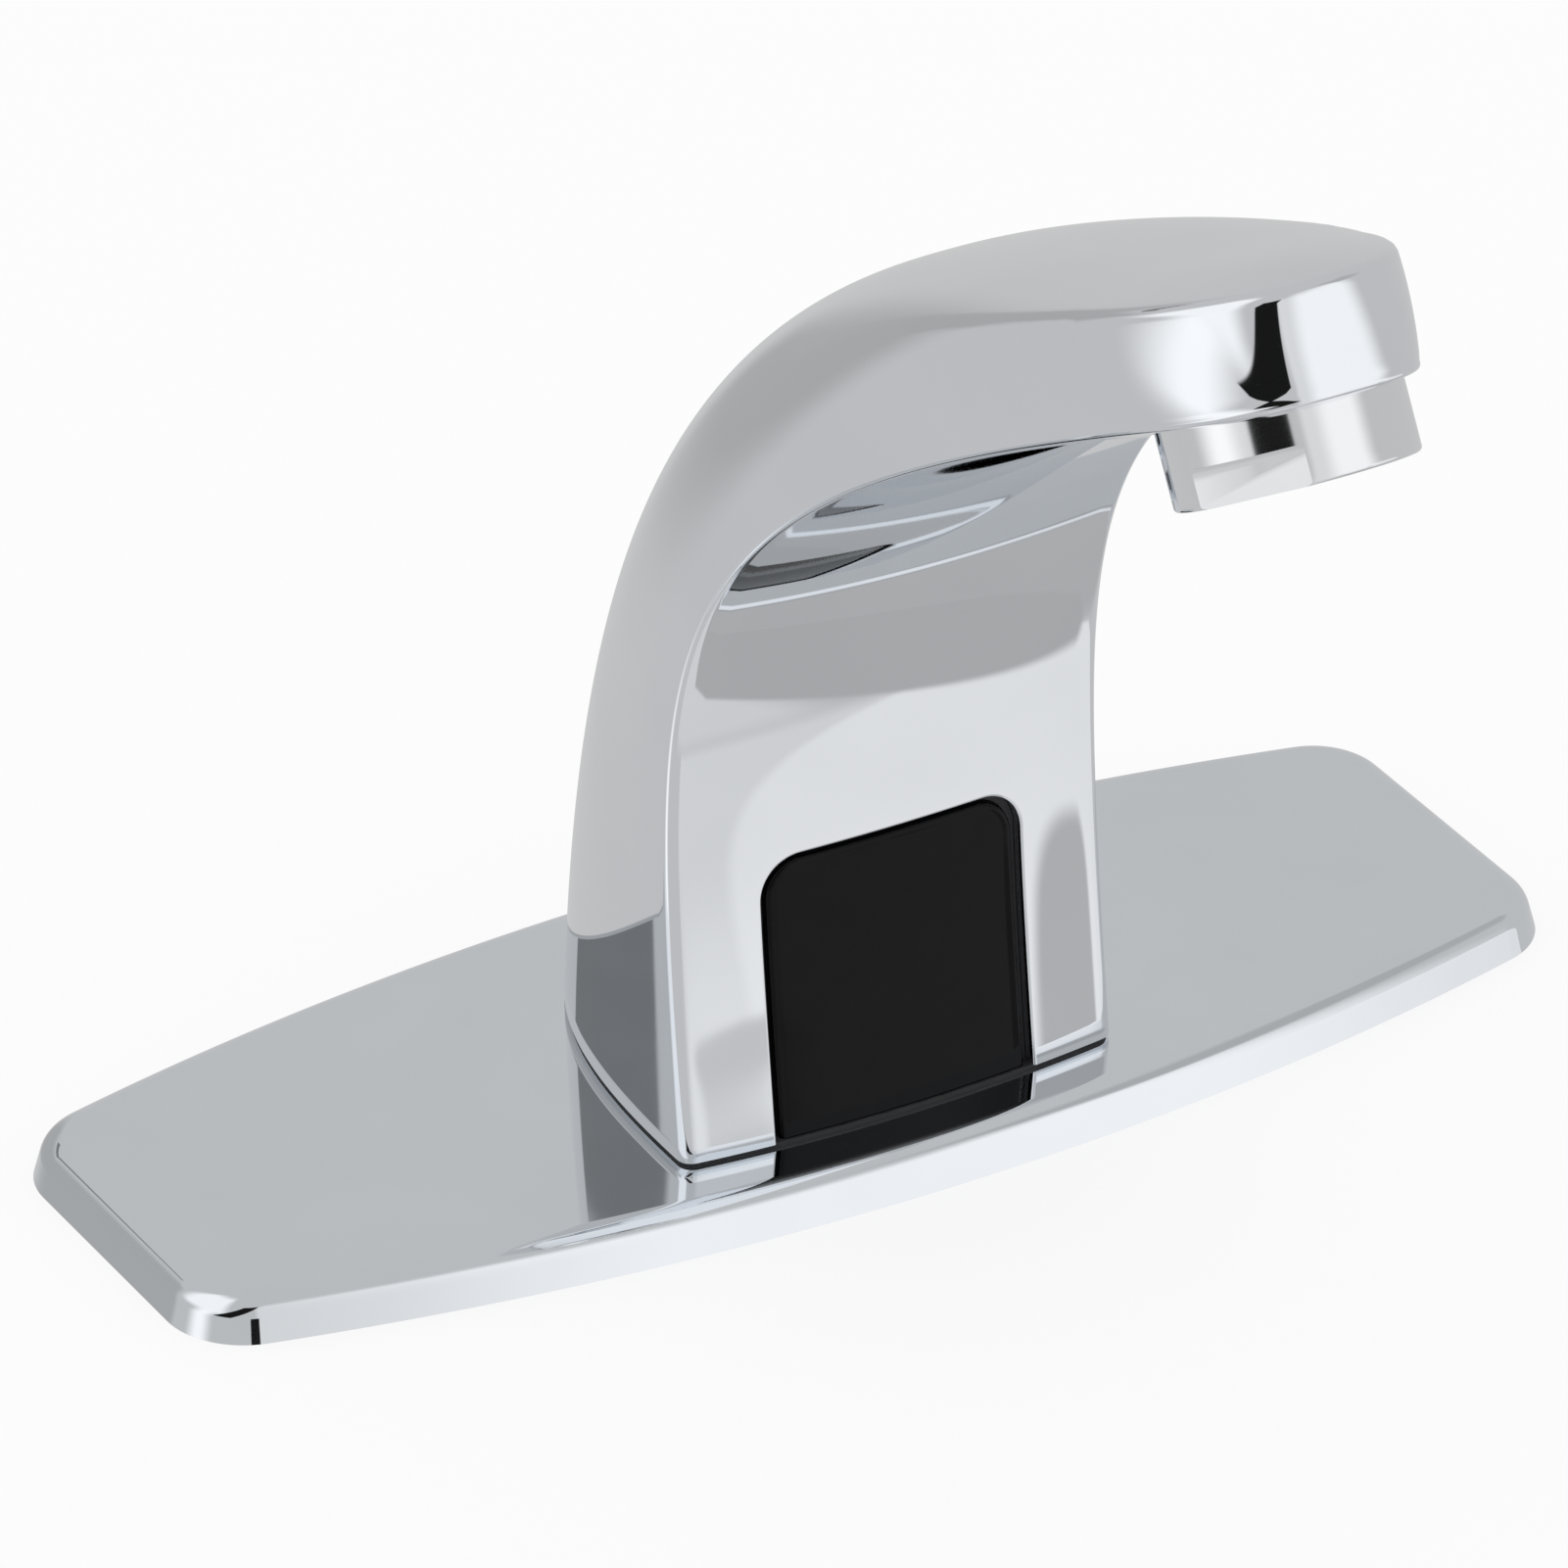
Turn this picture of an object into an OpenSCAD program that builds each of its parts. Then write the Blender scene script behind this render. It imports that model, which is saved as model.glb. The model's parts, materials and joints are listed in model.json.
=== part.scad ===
// Sensor tap on a deck plate, in millimetres.
// The origin is the centre of the deck plate's underside. +Z is up and the spout points to -Y.

/* [Deck plate] */
// Length of the deck plate
plate_l = 160; // [145:1:200]
// Width of the deck plate at its middle
plate_w = 62; // [58:1:80]
// How far each long side bows out between its ends
plate_bow = 10.8; // [7:0.2:13]
// Corner radius of the deck plate
plate_corner_r = 8.9; // [6:0.1:11]
// Height of the deck plate, which is also the radius of its rounded rim
plate_h = 4.8; // [4.2:0.1:6]
// Thickness of the pressed sheet
sheet_t = 1.5; // [1:0.1:2]

/* [Body] */
// Width of the foot of the body
foot_w = 50.6; // [49:0.2:56]
// Depth of the foot from front to back
foot_d = 45.8; // [44:0.2:52]
// Distance of the front face ahead of the plate's centre
front_y = 21.3; // [20.5:0.1:24]
// Bulge of the front face between its edges
front_crown = 1.8; // [1:0.1:2.6]
// Radius of the edges of the front face
edge_r = 1.6; // [0.8:0.1:2.4]
// Thickness of the cast wall
wall = 2.6; // [2:0.1:3]
// Thickness of the rubber between body and plate
gasket_t = 0.5; // [0.3:0.1:1.5]

/* [Spout] */
// Forward reach of the underside, to where the nose starts to round
reach = 85; // [80:1:110]
// Height of the underside there, above the deck
under_z = 117; // [114:1:130]
// Thickness of the spout there
nose_h = 14; // [13.5:0.5:18]
// Width of the spout's underside there
nose_w = 28.4; // [27.6:0.2:34]
// Length of the rounded nose
nose_round = 20.5; // [20:0.5:26]
// Slope of the underside at the nose, in degrees
under_slope = 27.5; // [25:0.5:30]
// Slope of the top at the nose, in degrees
top_slope = 23; // [18:0.5:27]

/* [Outlet] */
// Tilt of the jet from the vertical, in degrees
outlet_tilt = 30; // [27:0.5:33]
// Distance of the outlet's axis beyond the start of the nose
outlet_ahead = 5.3; // [4:0.1:7]
// Outside diameter of the aerator and of its thread
aerator_d = 24; // [22:0.1:25]
// How far the aerator stands out of the spout
aerator_show = 8.2; // [6:0.1:12]
// Size across the aerator's two wrench flats
flats_w = 21; // [20.4:0.1:22]

/* [Sensor window] */
// Width of the opening in the body
opening_w = 30.2; // [29:0.2:34]
// Height of the opening above the foot
opening_h = 31.2; // [30:0.2:34]
// Radius of the opening's upper corners
opening_r = 4.6; // [2:0.1:7]
// Gap all round between the window and the body
window_gap = 0.8; // [0.6:0.1:1.2]
// How far the window lies behind the body's face
window_setback = 0.6; // [0.2:0.1:1]

/* [Base block] */
// Radius of the spigot that passes through the deck plate
spigot_r = 17.3; // [17:0.1:19]
// Core radius of the supply hose's thread
supply_r = 4.5; // [4:0.1:4.8]
// Core radius of the fixing stud's thread
stud_r = 3.4; // [2.5:0.1:3.8]
// Depth of the fixing stud's thread
stud_depth = 9.5; // [6:0.5:10]
// Radius of the hole for the sensor's lead
lead_r = 2.2; // [1.5:0.1:2.4]

/* [Valve] */
// Lift of the main valve from its seat
piston_lift = 2.5; // [1:0.1:3]
// Travel of the solenoid's plunger
plunger_lift = 1.5; // [0.8:0.1:2]
// Radius of the water tubes
tube_r = 3.5; // [3.2:0.1:3.6]
// Thickness of the water tubes
tube_t = 0.8; // [0.5:0.1:1.2]
// Bend radius of the outlet tube
bend_r = 24; // [20:0.5:26]

/* [Hidden] */
// Running gap round a sliding or turning piece, and the gap of a loose fit
run_gap = 0.05;
loose_gap = 0.2;
// Cuts run this far past the faces they open
overrun = 1;

// Side curves of the body, drawn in the YZ plane: where the inner handles of each curve lie
front_handle_y = 14;
front_handle_z = 63;
under_handle = 82;
back_handle_y = 17;
back_handle_z = 100;
top_handle = 42;
// Widths of the body at its two inner handles
waist_w = 49.6;
shoulder_w = 51.2;
// How much shorter the nose is at its top than at its underside
nose_draft = 1;

// Squareness of the cross-section from foot to nose, and of the nose seen from above
square_shares = [2.6, 2.6, 1.2, 5];
nose_square_share = 2.4;
// Widening of the spout from its underside to its top, at the nose
flare_share = 0.17;
// Where the hollow inside ends, as a share of the way from foot to nose
hollow_share = 0.58;
nose_last_angle = 85;
// How finely forms are drawn: points across the front and round the sides, and stations upwards
body_fronts = 8;
body_sides = 28;
body_stations = 22;
nose_stations = 7;
hollow_fronts = 6;
hollow_sides = 24;
hollow_stations = 13;
window_fronts = 10;
window_sides = 12;
window_stations = 10;
// How far up the body the window's own form is skinned
window_form_share = 0.4;

foot_z = plate_h + gasket_t;
gasket_inset = 0.3;
seal_lip = 1;
seal_setback = window_setback + seal_lip;
under_dir = [-cos(under_slope), sin(under_slope)];
nose_up = [sin(under_slope), cos(under_slope)];
top_dir = [-cos(top_slope), sin(top_slope)];
nose_under = [-reach, under_z];
nose_top = nose_under + nose_h * nose_up;
top_round = (nose_round - nose_draft) / cos(under_slope - top_slope);
front_curve = [[-front_y, foot_z], [-front_handle_y, front_handle_z],
    nose_under - under_handle * under_dir, nose_under];
back_curve = [[foot_d - front_y, foot_z], [back_handle_y, back_handle_z],
    nose_top - top_handle * top_dir, nose_top];
half_widths = [foot_w, waist_w, shoulder_w, nose_w] / 2;

// Long and short arcs of the deck plate's outline
plate_arc_r = (pow(plate_l / 2, 2) + pow(plate_bow, 2)) / (2 * plate_bow);
plate_arc_y = plate_w / 2 - plate_arc_r;
corner_x = plate_l / 2 - plate_corner_r;
corner_y = plate_arc_y + sqrt(pow(plate_arc_r - plate_corner_r, 2) - pow(corner_x, 2));
corner_angle = asin(corner_x / (plate_arc_r - plate_corner_r));
plate_hollow_inset = 3.2;
plate_hole_r = spigot_r + loose_gap;

// Outlet: its socket, the chamber above it and the water way behind it
outlet_point = nose_under + outlet_ahead * under_dir;
thread_h = 5.5;
washer_t = 1;
washer_bore_r = 9.1;
socket_depth = thread_h + washer_t;
chamber_r = 8;
chamber_h = 4.5;
way_r = 2.2;
way_h = socket_depth + chamber_h / 2;
outlet_socket_drop = 6;
way_clear = 9;
aerator_r = aerator_d / 2;
aerator_bore_r = 9.5;
lip_t = 0.9;
lip_r = 8.6;
flats_h = 4;
flats_turn = 51;
insert_h = 7;
insert_hole_r = 0.75;
insert_pitch = 2;
insert_rings = 4;
regulator_h = 1.6;
regulator_hole_r = 1.1;
regulator_holes = 8;
regulator_ring_share = 0.6;
screen_t = 0.5;
screen_rise = 3;
regulator_z = lip_t - aerator_show + insert_h;

// Base block and what it carries
block_lift = 0.5;
flange_t = 6.7;
block_top = foot_z + flange_t;
flange_gap = 1.4;
supply_x = 12;
stud_x = 9.5;
stud_y = 4.5;
lead_y = 4;
grommet_r = 3;
grommet_lip_r = 3.8;
grommet_lip_t = 0.8;
filter_t = 0.8;
filter_hole_r = 0.4;
filter_pitch = 1.2;
filter_seat_gap = 0.1;
filter_step = 0.4;
foot_mid_y = foot_d / 2 - front_y;
base_screw_side = 11.8;
base_screw_back = 10.4;
base_screw_x = foot_w / 2 - base_screw_side;
base_screw_y = foot_mid_y + base_screw_back;
base_screw_r = 1.6;
base_head_r = 3;
base_head_h = 1.8;
base_screw_l = 14;
boss_r = 4.2;
boss_h = 12;
boss_rib_t = 4;
post_x = 15.5;
post_y = 1;
post_r = 2.5;
post_pin_r = 1.25;
post_pin_h = 3;

// Solenoid valve: levels above the block and radii
coil_y = 2;
coil_gap = 2;
coil_r = 8;
coil_shell_t = 0.7;
coil_h = 18;
coil_flange_t = 1;
bobbin_t = 0.8;
core_r = 4.2;
core_bore_r = 3.4;
core_stop_h = 3.5;
coil_z = block_top + coil_gap;
cover_z = coil_z + coil_h + coil_flange_t;
cover_t = 5;
core_seat_h = 2;
valve_y = 5;
valve_r = 10.5;
piston_r = 8;
body_z = cover_z + cover_t;
piston_seal_t = 0.8;
piston_t = 4;
piston_clear = 1.7;
seat_z = body_z + piston_lift + piston_clear + piston_t + piston_seal_t;
seat_h = 4;
roof_t = 7;
bore_top_z = seat_z + seat_h;
valve_top_z = bore_top_z + roof_t;
seat_lip = 1;
seat_r = 4.8;
way_in_r = 3;
way_drill_r = 2;
drill_roof = 0.5;
drill_end = 1;
lug_r = 6;
screw_ring_r = 11.5;
screw_lug_r = 2.5;
valve_screw_angles = [155, 225, 315];
valve_screw_r = 1;
valve_head_r = 1.9;
valve_head_h = 1.4;
valve_screw_l = 11;
valve_screw_end = 1;
pocket_h = 2.2;
pocket_r = 4.4;
piston_spring_r = 3.6;
plunger_pad_t = 0.8;
plunger_pad_r = 2.4;
plunger_pocket_h = 6;
plunger_pocket_r = 2.5;
pilot_r = 1.5;
pilot_hole_r = 0.5;
spring_wire_r = 0.3;
plunger_spring_r = 1.9;
tube_in_valve = 6;
tube_in_block = 4;
tube_in_spout = 7;

// O-rings of the tubes
ring_r = 0.5;
groove_h = 1.3;
groove_depth = 1.05;

// Sensor module behind the window
module_half_w = 13.4;
module_bottom_gap = 0.9;
module_h = 25;
module_setback = 0.49;
module_d = 7.4;
housing_t = 1;
board_t = 1.2;
board_back = 1.6;
lid_t = 1.2;
post_w = 3.4;
diode_r = 2.5;
diode_x = 6.2;
diode_d = 3.6;
led_r = 1.5;
diode_z = 16;
led_z = 22;
baffle_t = 1;
baffle_h = 16;
housing_screw_r = 0.8;
housing_screw_l = 5;
housing_head_r = 1.4;
housing_head_h = 0.8;
bracket_t = 1;
bracket_gap = 0.1;
bracket_half_w = 9;
bracket_notch = 4;
bracket_foot = 4.8;
bracket_h = 16;
bracket_screw_r = 1.1;
bracket_screw_l = 4;
bracket_head_r = 1.7;
bracket_head_h = 0.8;
bracket_screw_x = 6.6;

// Places in the module that several pieces share
module_z = foot_z + module_bottom_gap;
module_front_y = -curve(front_curve, front_station(foot_z + opening_h))[0] - module_setback;
lid_front_y = -module_front_y + module_d;
lid_back_y = lid_front_y + lid_t;
flange_front_y = -lid_back_y - bracket_t - bracket_gap;
board_front_y = lid_front_y - board_back - board_t;
screw_inset = housing_t + post_w / 2;
lid_screw_z = block_top + bracket_h - 2 * bracket_head_r;
foot_screw_y = lid_back_y + bracket_foot - bracket_head_r;
notch_h = bracket_h / 2;

// Places in the valve that several pieces share
block_groove_z = block_top - tube_in_block / 2;
filter_z = block_top - tube_in_block - filter_t;
supply_depth = filter_z - filter_seat_gap - block_lift;
filter_r = supply_r - filter_step;
lug_groove_z = body_z + tube_in_valve / 2;
outlet_groove_z = valve_top_z - tube_in_valve / 2;
drill_z = bore_top_z - way_drill_r - drill_roof;
piston_spring_h = seat_z - piston_seal_t - piston_t + pocket_h - body_z;
core_stop_z = coil_z + core_stop_h;
plunger_z = core_stop_z + plunger_lift + loose_gap;
plunger_h = cover_z - plunger_pad_t - plunger_z;
plunger_spring_h = plunger_z + plunger_pocket_h - core_stop_z;
bobbin_z = coil_z + coil_flange_t / 2 + coil_shell_t;
bobbin_h = cover_z - bobbin_z;
bobbin_outer_r = coil_r - coil_shell_t - loose_gap;

// A point of a cubic curve
function curve(p, t) = pow(1 - t, 3) * p[0] + 3 * pow(1 - t, 2) * t * p[1]
    + 3 * (1 - t) * t * t * p[2] + pow(t, 3) * p[3];

// Where the front's curve passes height z, as a share of its way up
function front_station(z, low = 0, high = 1, steps = 24) = let (mid = (low + high) / 2)
    steps == 0 ? mid
    : curve(front_curve, mid)[1] < z ? front_station(z, mid, high, steps - 1)
    : front_station(z, low, mid, steps - 1);

// A station of the body: u runs from 0 at the foot to 1 at the nose, and on to 2 round the nose.
// It holds the front point, the back point, the half width, squareness, widening and crown.
function station(u) = u <= 1
    ? [curve(front_curve, u), curve(back_curve, u), curve(half_widths, u),
        curve(square_shares, u), flare_share * u * u, front_crown]
    : let (a = (u - 1) * nose_last_angle,
        s = pow(sin(a), 2 / nose_square_share),
        c = pow(cos(a), 2 / nose_square_share))
        [nose_under + nose_round * s * under_dir, nose_top + top_round * s * top_dir,
            half_widths[3] * c, square_shares[3], flare_share, front_crown * c * c];

// Points of one cross-section, drawn in from the outer surface by inset: the front face, its
// rounded edges, then the sides and the back
function section(u, inset, fronts, sides) =
    let (s = station(u), along = (s[1] - s[0]) / norm(s[1] - s[0]),
        base = s[0] + inset * along, depth = norm(s[1] - s[0]) - 2 * inset,
        w = s[2] - inset, r = min(edge_r, w / 3), crown = s[5], n = s[3],
        edge_d = -crown * (1 - pow((w - r) / w, 2)),
        first = asin(pow(r / depth, n / 2)),
        flat = [for (i = [0:fronts]) let (x = (w - r) * (2 * i / fronts - 1))
            [x, -crown * (1 - pow(x / w, 2))]],
        edge = [w - r * (1 - cos(45)), edge_d / 2 + r * (1 - sin(45))],
        wrap = [for (i = [0:sides]) let (a = first + (180 - 2 * first) * i / sides,
            e = pow(sin(a), 2 / n))
            [w * sign(cos(a)) * pow(abs(cos(a)), 2 / n) * (1 + s[4] * e), depth * e]])
    [for (q = concat(flat, [edge], wrap, [[-edge[0], edge[1]]]))
        [q[0], base[0] + along[0] * q[1], base[1] + along[1] * q[1]]];

// A solid skinned over rings of points that turn to the left as seen from the last ring
module loft(rings) {
    m = len(rings[0]);
    last = len(rings) - 1;
    points = [for (ring = rings) for (p = ring) p];
    sides = [for (i = [0:last - 1]) for (j = [0:m - 1]) let (k = (j + 1) % m)
        for (face = [[i * m + j, (i + 1) * m + j, (i + 1) * m + k],
            [i * m + j, (i + 1) * m + k, i * m + k]]) face];
    first_cap = [for (j = [0:m - 1]) j];
    last_cap = [for (j = [m - 1:-1:0]) last * m + j];
    polyhedron(points, concat([first_cap], sides, [last_cap]));
}

function lowered(ring, drop) = [for (p = ring) p - [0, 0, drop]];

// The body's form through a list of stations, drawn in by inset and run on below the foot by drop
module body_form(stations, inset, fronts, sides, drop) {
    rings = [for (u = stations) section(u, inset, fronts, sides)];
    loft(concat(drop > 0 ? [lowered(rings[0], drop)] : [], rings));
}

// Outline of the foot, drawn in by inset
function foot_outline(inset) = [for (p = section(0, inset, body_fronts, body_sides)) [p[0], p[1]]];

// Outline of the deck plate, drawn in by inset
function plate_quarter(inset) = concat(
    [for (i = [0:6]) let (a = corner_angle * i / 6)
        [(plate_arc_r - inset) * sin(a), plate_arc_y + (plate_arc_r - inset) * cos(a)]],
    [for (i = [1:5]) let (a = corner_angle + (90 - corner_angle) * i / 5)
        [corner_x + (plate_corner_r - inset) * sin(a), corner_y + (plate_corner_r - inset) * cos(a)]]);
function plate_outline(inset) = let (q = plate_quarter(inset), n = len(q) - 1) concat(
    [for (i = [n:-1:0]) q[i]],
    [for (i = [1:n]) [-q[i][0], q[i][1]]],
    [for (i = [n:-1:0]) [-q[i][0], -q[i][1]]],
    [for (i = [1:n]) [q[i][0], -q[i][1]]]);

// The outlet's own frame: its axis is Z, with zero on the spout's underside and the nose ahead at -Y
module at_outlet() {
    translate([0, outlet_point[0], outlet_point[1]]) rotate([-outlet_tilt, 0, 0]) children();
}

module at_valve(z) {
    translate([0, -valve_y, z]) children();
}

module at_coil(z) {
    translate([0, coil_y, z]) children();
}

// A ring or tube
module tube(outer, inner, h) {
    difference() {
        cylinder(h = h, r = outer, $fn = 64);
        translate([0, 0, -overrun]) cylinder(h = h + 2 * overrun, r = inner, $fn = 64);
    }
}

// Window shape with rounded upper corners, standing in the XZ plane and running back from the front
module window_shape(gap, back_y) {
    w = opening_w - 2 * gap;
    h = opening_h - gap;
    r = opening_r - gap / 2;
    start_y = front_y + front_crown + overrun;
    translate([0, back_y, foot_z]) rotate([90, 0, 0])
        linear_extrude(start_y + back_y) {
            translate([-w / 2, 0]) square([w, h - r]);
            translate([r - w / 2, 0]) square([w - 2 * r, h]);
            for (side = [-1, 1]) translate([side * (w / 2 - r), h - r]) circle(r, $fn = 48);
        }
}

// A coil spring that stands on z = 0
module spring(r, wire_r, h, turns) {
    steps = 12 * turns;
    loft([for (i = [0:steps]) let (a = 360 * turns * i / steps,
        z = wire_r + (h - 2 * wire_r) * i / steps)
        [for (k = [0:4]) let (b = 72 * k, out = r + wire_r * cos(b))
            [out * cos(a), out * sin(a), z - wire_r * sin(b)]]]);
}

// A screw with its head below z = 0 and its shank above
module cap_screw(r, l, head_r, head_h) {
    translate([0, 0, -head_h]) cylinder(h = head_h, r = head_r, $fn = 32);
    cylinder(h = l, r = r, $fn = 32);
}

// Groove round a tube's socket, centred on z = 0
module groove(r) {
    translate([0, 0, -groove_h / 2]) cylinder(h = groove_h, r = r + groove_depth, $fn = 64);
}

module o_ring(r) {
    rotate_extrude($fn = 64) translate([r + groove_depth / 2, 0]) circle(ring_r, $fn = 24);
}

// Water way of the spout, in the outlet's frame: it leads back from the chamber
module outlet_way(r, from, to) {
    translate([0, from, way_h]) rotate([-90, 0, 0]) cylinder(h = to - from, r = r, $fn = 48);
}

// Bend of the outlet tube: it turns from upright into the slope of the outlet's water way
bend_turn = 90 - outlet_tilt;
bend_end_y = -valve_y - bend_r * (1 - cos(bend_turn));
way_start = [outlet_point[0] + way_h * sin(outlet_tilt), outlet_point[1] + way_h * cos(outlet_tilt)];
bend_way = (bend_end_y - way_start[0]) / cos(outlet_tilt);
bend_end_z = way_start[1] - bend_way * sin(outlet_tilt);
bend_z = bend_end_z - bend_r * sin(bend_turn);
// Where the tube's socket in the spout begins, measured back along the water way
hollow_mid = (curve(front_curve, hollow_share) + curve(back_curve, hollow_share)) / 2;
socket_way = (hollow_mid[0] - way_start[0]) / cos(outlet_tilt);
tube_end_way = socket_way - tube_in_spout;
groove_way = socket_way - tube_in_spout / 2;

// Boss over a base screw, with a rib that joins it to the side wall
module base_boss() {
    cylinder(h = boss_h, r = boss_r, $fn = 48);
    translate([0, -boss_rib_t / 2, 0]) cube([base_screw_side, boss_rib_t, boss_h]);
}

// Tap body: tower and spout in one casting
module spout_body() {
    color([0.80, 0.81, 0.83]) difference() {
        body_form(concat([for (i = [0:body_stations - 1]) i / body_stations],
            [for (i = [0:nose_stations]) 1 + i / nose_stations]), 0, body_fronts, body_sides, 0);
        difference() {
            body_form([for (i = [0:hollow_stations]) hollow_share * i / hollow_stations],
                wall, hollow_fronts, hollow_sides, overrun);
            for (side = [0, 1]) mirror([side, 0, 0])
                translate([base_screw_x, base_screw_y, block_top]) base_boss();
        }
        for (side = [-1, 1]) translate([side * base_screw_x, base_screw_y, foot_z - overrun]) {
            cylinder(h = overrun + base_head_h + loose_gap, r = base_head_r + loose_gap, $fn = 32);
            cylinder(h = flange_t + base_screw_l, r = base_screw_r + run_gap, $fn = 32);
        }
        window_shape(0, lid_front_y);
        at_outlet() {
            translate([0, 0, -outlet_socket_drop]) cylinder(
                h = outlet_socket_drop + socket_depth, r = aerator_r + run_gap, $fn = 96);
            cylinder(h = socket_depth + chamber_h, r = chamber_r, $fn = 64);
            outlet_way(way_r, 0, socket_way);
            outlet_way(tube_r + run_gap, tube_end_way, socket_way + way_clear);
            translate([0, groove_way, way_h]) rotate([-90, 0, 0]) groove(tube_r);
        }
    }
}

// Cover plate under the tap, pressed from sheet
module deck_plate() {
    color([0.78, 0.80, 0.82]) difference() {
        loft([for (i = [0:6]) let (a = 90 * i / 6)
            [for (p = plate_outline(plate_h * (1 - cos(a)))) [p[0], p[1], plate_h * sin(a)]]]);
        translate([0, 0, -overrun]) linear_extrude(plate_h - sheet_t + overrun)
            polygon(plate_outline(plate_hollow_inset));
        translate([0, 0, -overrun]) cylinder(h = plate_h + 2 * overrun, r = plate_hole_r, $fn = 96);
    }
}

// Foam pad in the hollow of the deck plate
module deck_gasket() {
    color([0.16, 0.16, 0.17]) difference() {
        linear_extrude(plate_h - sheet_t) polygon(plate_outline(plate_hollow_inset + loose_gap));
        translate([0, 0, -overrun]) cylinder(h = plate_h + overrun, r = plate_hole_r, $fn = 96);
    }
}

// Rubber sheet between the body and the deck plate
module body_gasket() {
    color([0.05, 0.05, 0.06]) translate([0, 0, plate_h]) difference() {
        linear_extrude(gasket_t) polygon(foot_outline(gasket_inset));
        translate([0, 0, -overrun]) linear_extrude(gasket_t + 2 * overrun) polygon(foot_outline(wall));
    }
}

// Brass block that closes the foot and holds the supply, stud and lead holes
module base_block() {
    flange_y = foot_d;
    color([0.74, 0.60, 0.32]) difference() {
        union() {
            translate([0, 0, block_lift]) cylinder(h = plate_h - block_lift, r = spigot_r, $fn = 96);
            translate([0, 0, plate_h]) linear_extrude(gasket_t) intersection() {
                circle(spigot_r, $fn = 96);
                polygon(foot_outline(wall + loose_gap));
            }
            translate([0, 0, foot_z]) linear_extrude(flange_t) intersection() {
                polygon(foot_outline(wall + flange_gap));
                translate([-foot_w / 2, -flange_front_y]) square([foot_w, flange_y]);
            }
        }
        translate([supply_x, 0, block_lift - overrun])
            cylinder(h = supply_depth + overrun, r = supply_r, $fn = 48);
        translate([supply_x, 0, block_lift])
            cylinder(h = filter_z + filter_t - block_lift, r = filter_r, $fn = 48);
        translate([supply_x, 0, block_top - tube_in_block])
            cylinder(h = tube_in_block + overrun, r = tube_r + run_gap, $fn = 48);
        translate([supply_x, 0, block_lift]) cylinder(h = block_top, r = way_in_r, $fn = 48);
        translate([supply_x, 0, block_groove_z]) groove(tube_r);
        translate([-stud_x, stud_y, block_lift - overrun])
            cylinder(h = stud_depth + overrun, r = stud_r, $fn = 48);
        translate([0, -lead_y, 0]) cylinder(h = block_top + overrun, r = grommet_r + run_gap, $fn = 48);
        for (side = [-1, 1]) translate([side * base_screw_x, base_screw_y, 0]) {
            cylinder(h = block_top + overrun, r = base_screw_r + loose_gap, $fn = 32);
            cylinder(h = foot_z + base_head_h + loose_gap, r = base_head_r + loose_gap, $fn = 32);
        }
        translate([-post_x, post_y, block_top - post_pin_h - loose_gap])
            cylinder(h = post_pin_h + overrun, r = post_pin_r + run_gap, $fn = 32);
        for (side = [-1, 1]) translate([side * bracket_screw_x, foot_screw_y, block_top - bracket_screw_l])
            cylinder(h = bracket_screw_l + overrun, r = bracket_screw_r + run_gap, $fn = 24);
    }
}

// Two screws that hold the block up into the body
module base_screws() {
    color([0.62, 0.63, 0.65]) for (side = [-1, 1])
        translate([side * base_screw_x, base_screw_y, foot_z + base_head_h])
            cap_screw(base_screw_r, base_screw_l, base_head_r, base_head_h);
}

// Rubber grommet of the sensor's lead
module lead_grommet() {
    color([0.07, 0.07, 0.08]) difference() {
        translate([0, -lead_y, block_lift]) {
            cylinder(h = block_top - block_lift, r = grommet_r, $fn = 48);
            translate([0, 0, block_top - block_lift])
                cylinder(h = grommet_lip_t, r = grommet_lip_r, $fn = 48);
        }
        translate([0, -lead_y, 0])
            cylinder(h = block_top + grommet_lip_t + overrun, r = lead_r, $fn = 48);
    }
}

// Strainer disc at the end of the supply thread
module inlet_filter() {
    steps = floor((way_in_r - filter_hole_r) / filter_pitch);
    color([0.85, 0.86, 0.84]) translate([supply_x, 0, filter_z])
        difference() {
            cylinder(h = filter_t, r = filter_r - run_gap, $fn = 48);
            for (i = [-steps:steps], j = [-steps:steps])
                if (norm([i, j]) * filter_pitch < way_in_r - filter_hole_r)
                    translate([i * filter_pitch, j * filter_pitch, -overrun])
                        cylinder(h = filter_t + 2 * overrun, r = filter_hole_r, $fn = 4);
        }
}

// Straight tube from the block up to the valve
module inlet_tube() {
    color([0.80, 0.66, 0.36]) translate([supply_x, 0, block_top - tube_in_block])
        tube(tube_r, tube_r - tube_t, tube_in_block + body_z - block_top + tube_in_valve);
}

// O-rings of the inlet tube and the outlet tube
module tube_seals() {
    color([0.05, 0.05, 0.05]) {
        translate([supply_x, 0, block_groove_z]) o_ring(tube_r);
        translate([supply_x, 0, lug_groove_z]) o_ring(tube_r);
        at_valve(outlet_groove_z) o_ring(tube_r);
        at_outlet() translate([0, groove_way, way_h]) rotate([-90, 0, 0]) o_ring(tube_r);
    }
}

// Post that carries the valve beside the inlet tube
module support_post() {
    color([0.70, 0.71, 0.72]) translate([-post_x, post_y, block_top]) {
        cylinder(h = cover_z - block_top, r = post_r, $fn = 48);
        translate([0, 0, -post_pin_h]) cylinder(
            h = post_pin_h + cover_z - block_top + post_pin_h, r = post_pin_r, $fn = 32);
    }
}

module screw_places(z) {
    for (a = valve_screw_angles)
        translate([screw_ring_r * cos(a), screw_ring_r * sin(a) - valve_y, z]) children();
}

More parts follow.
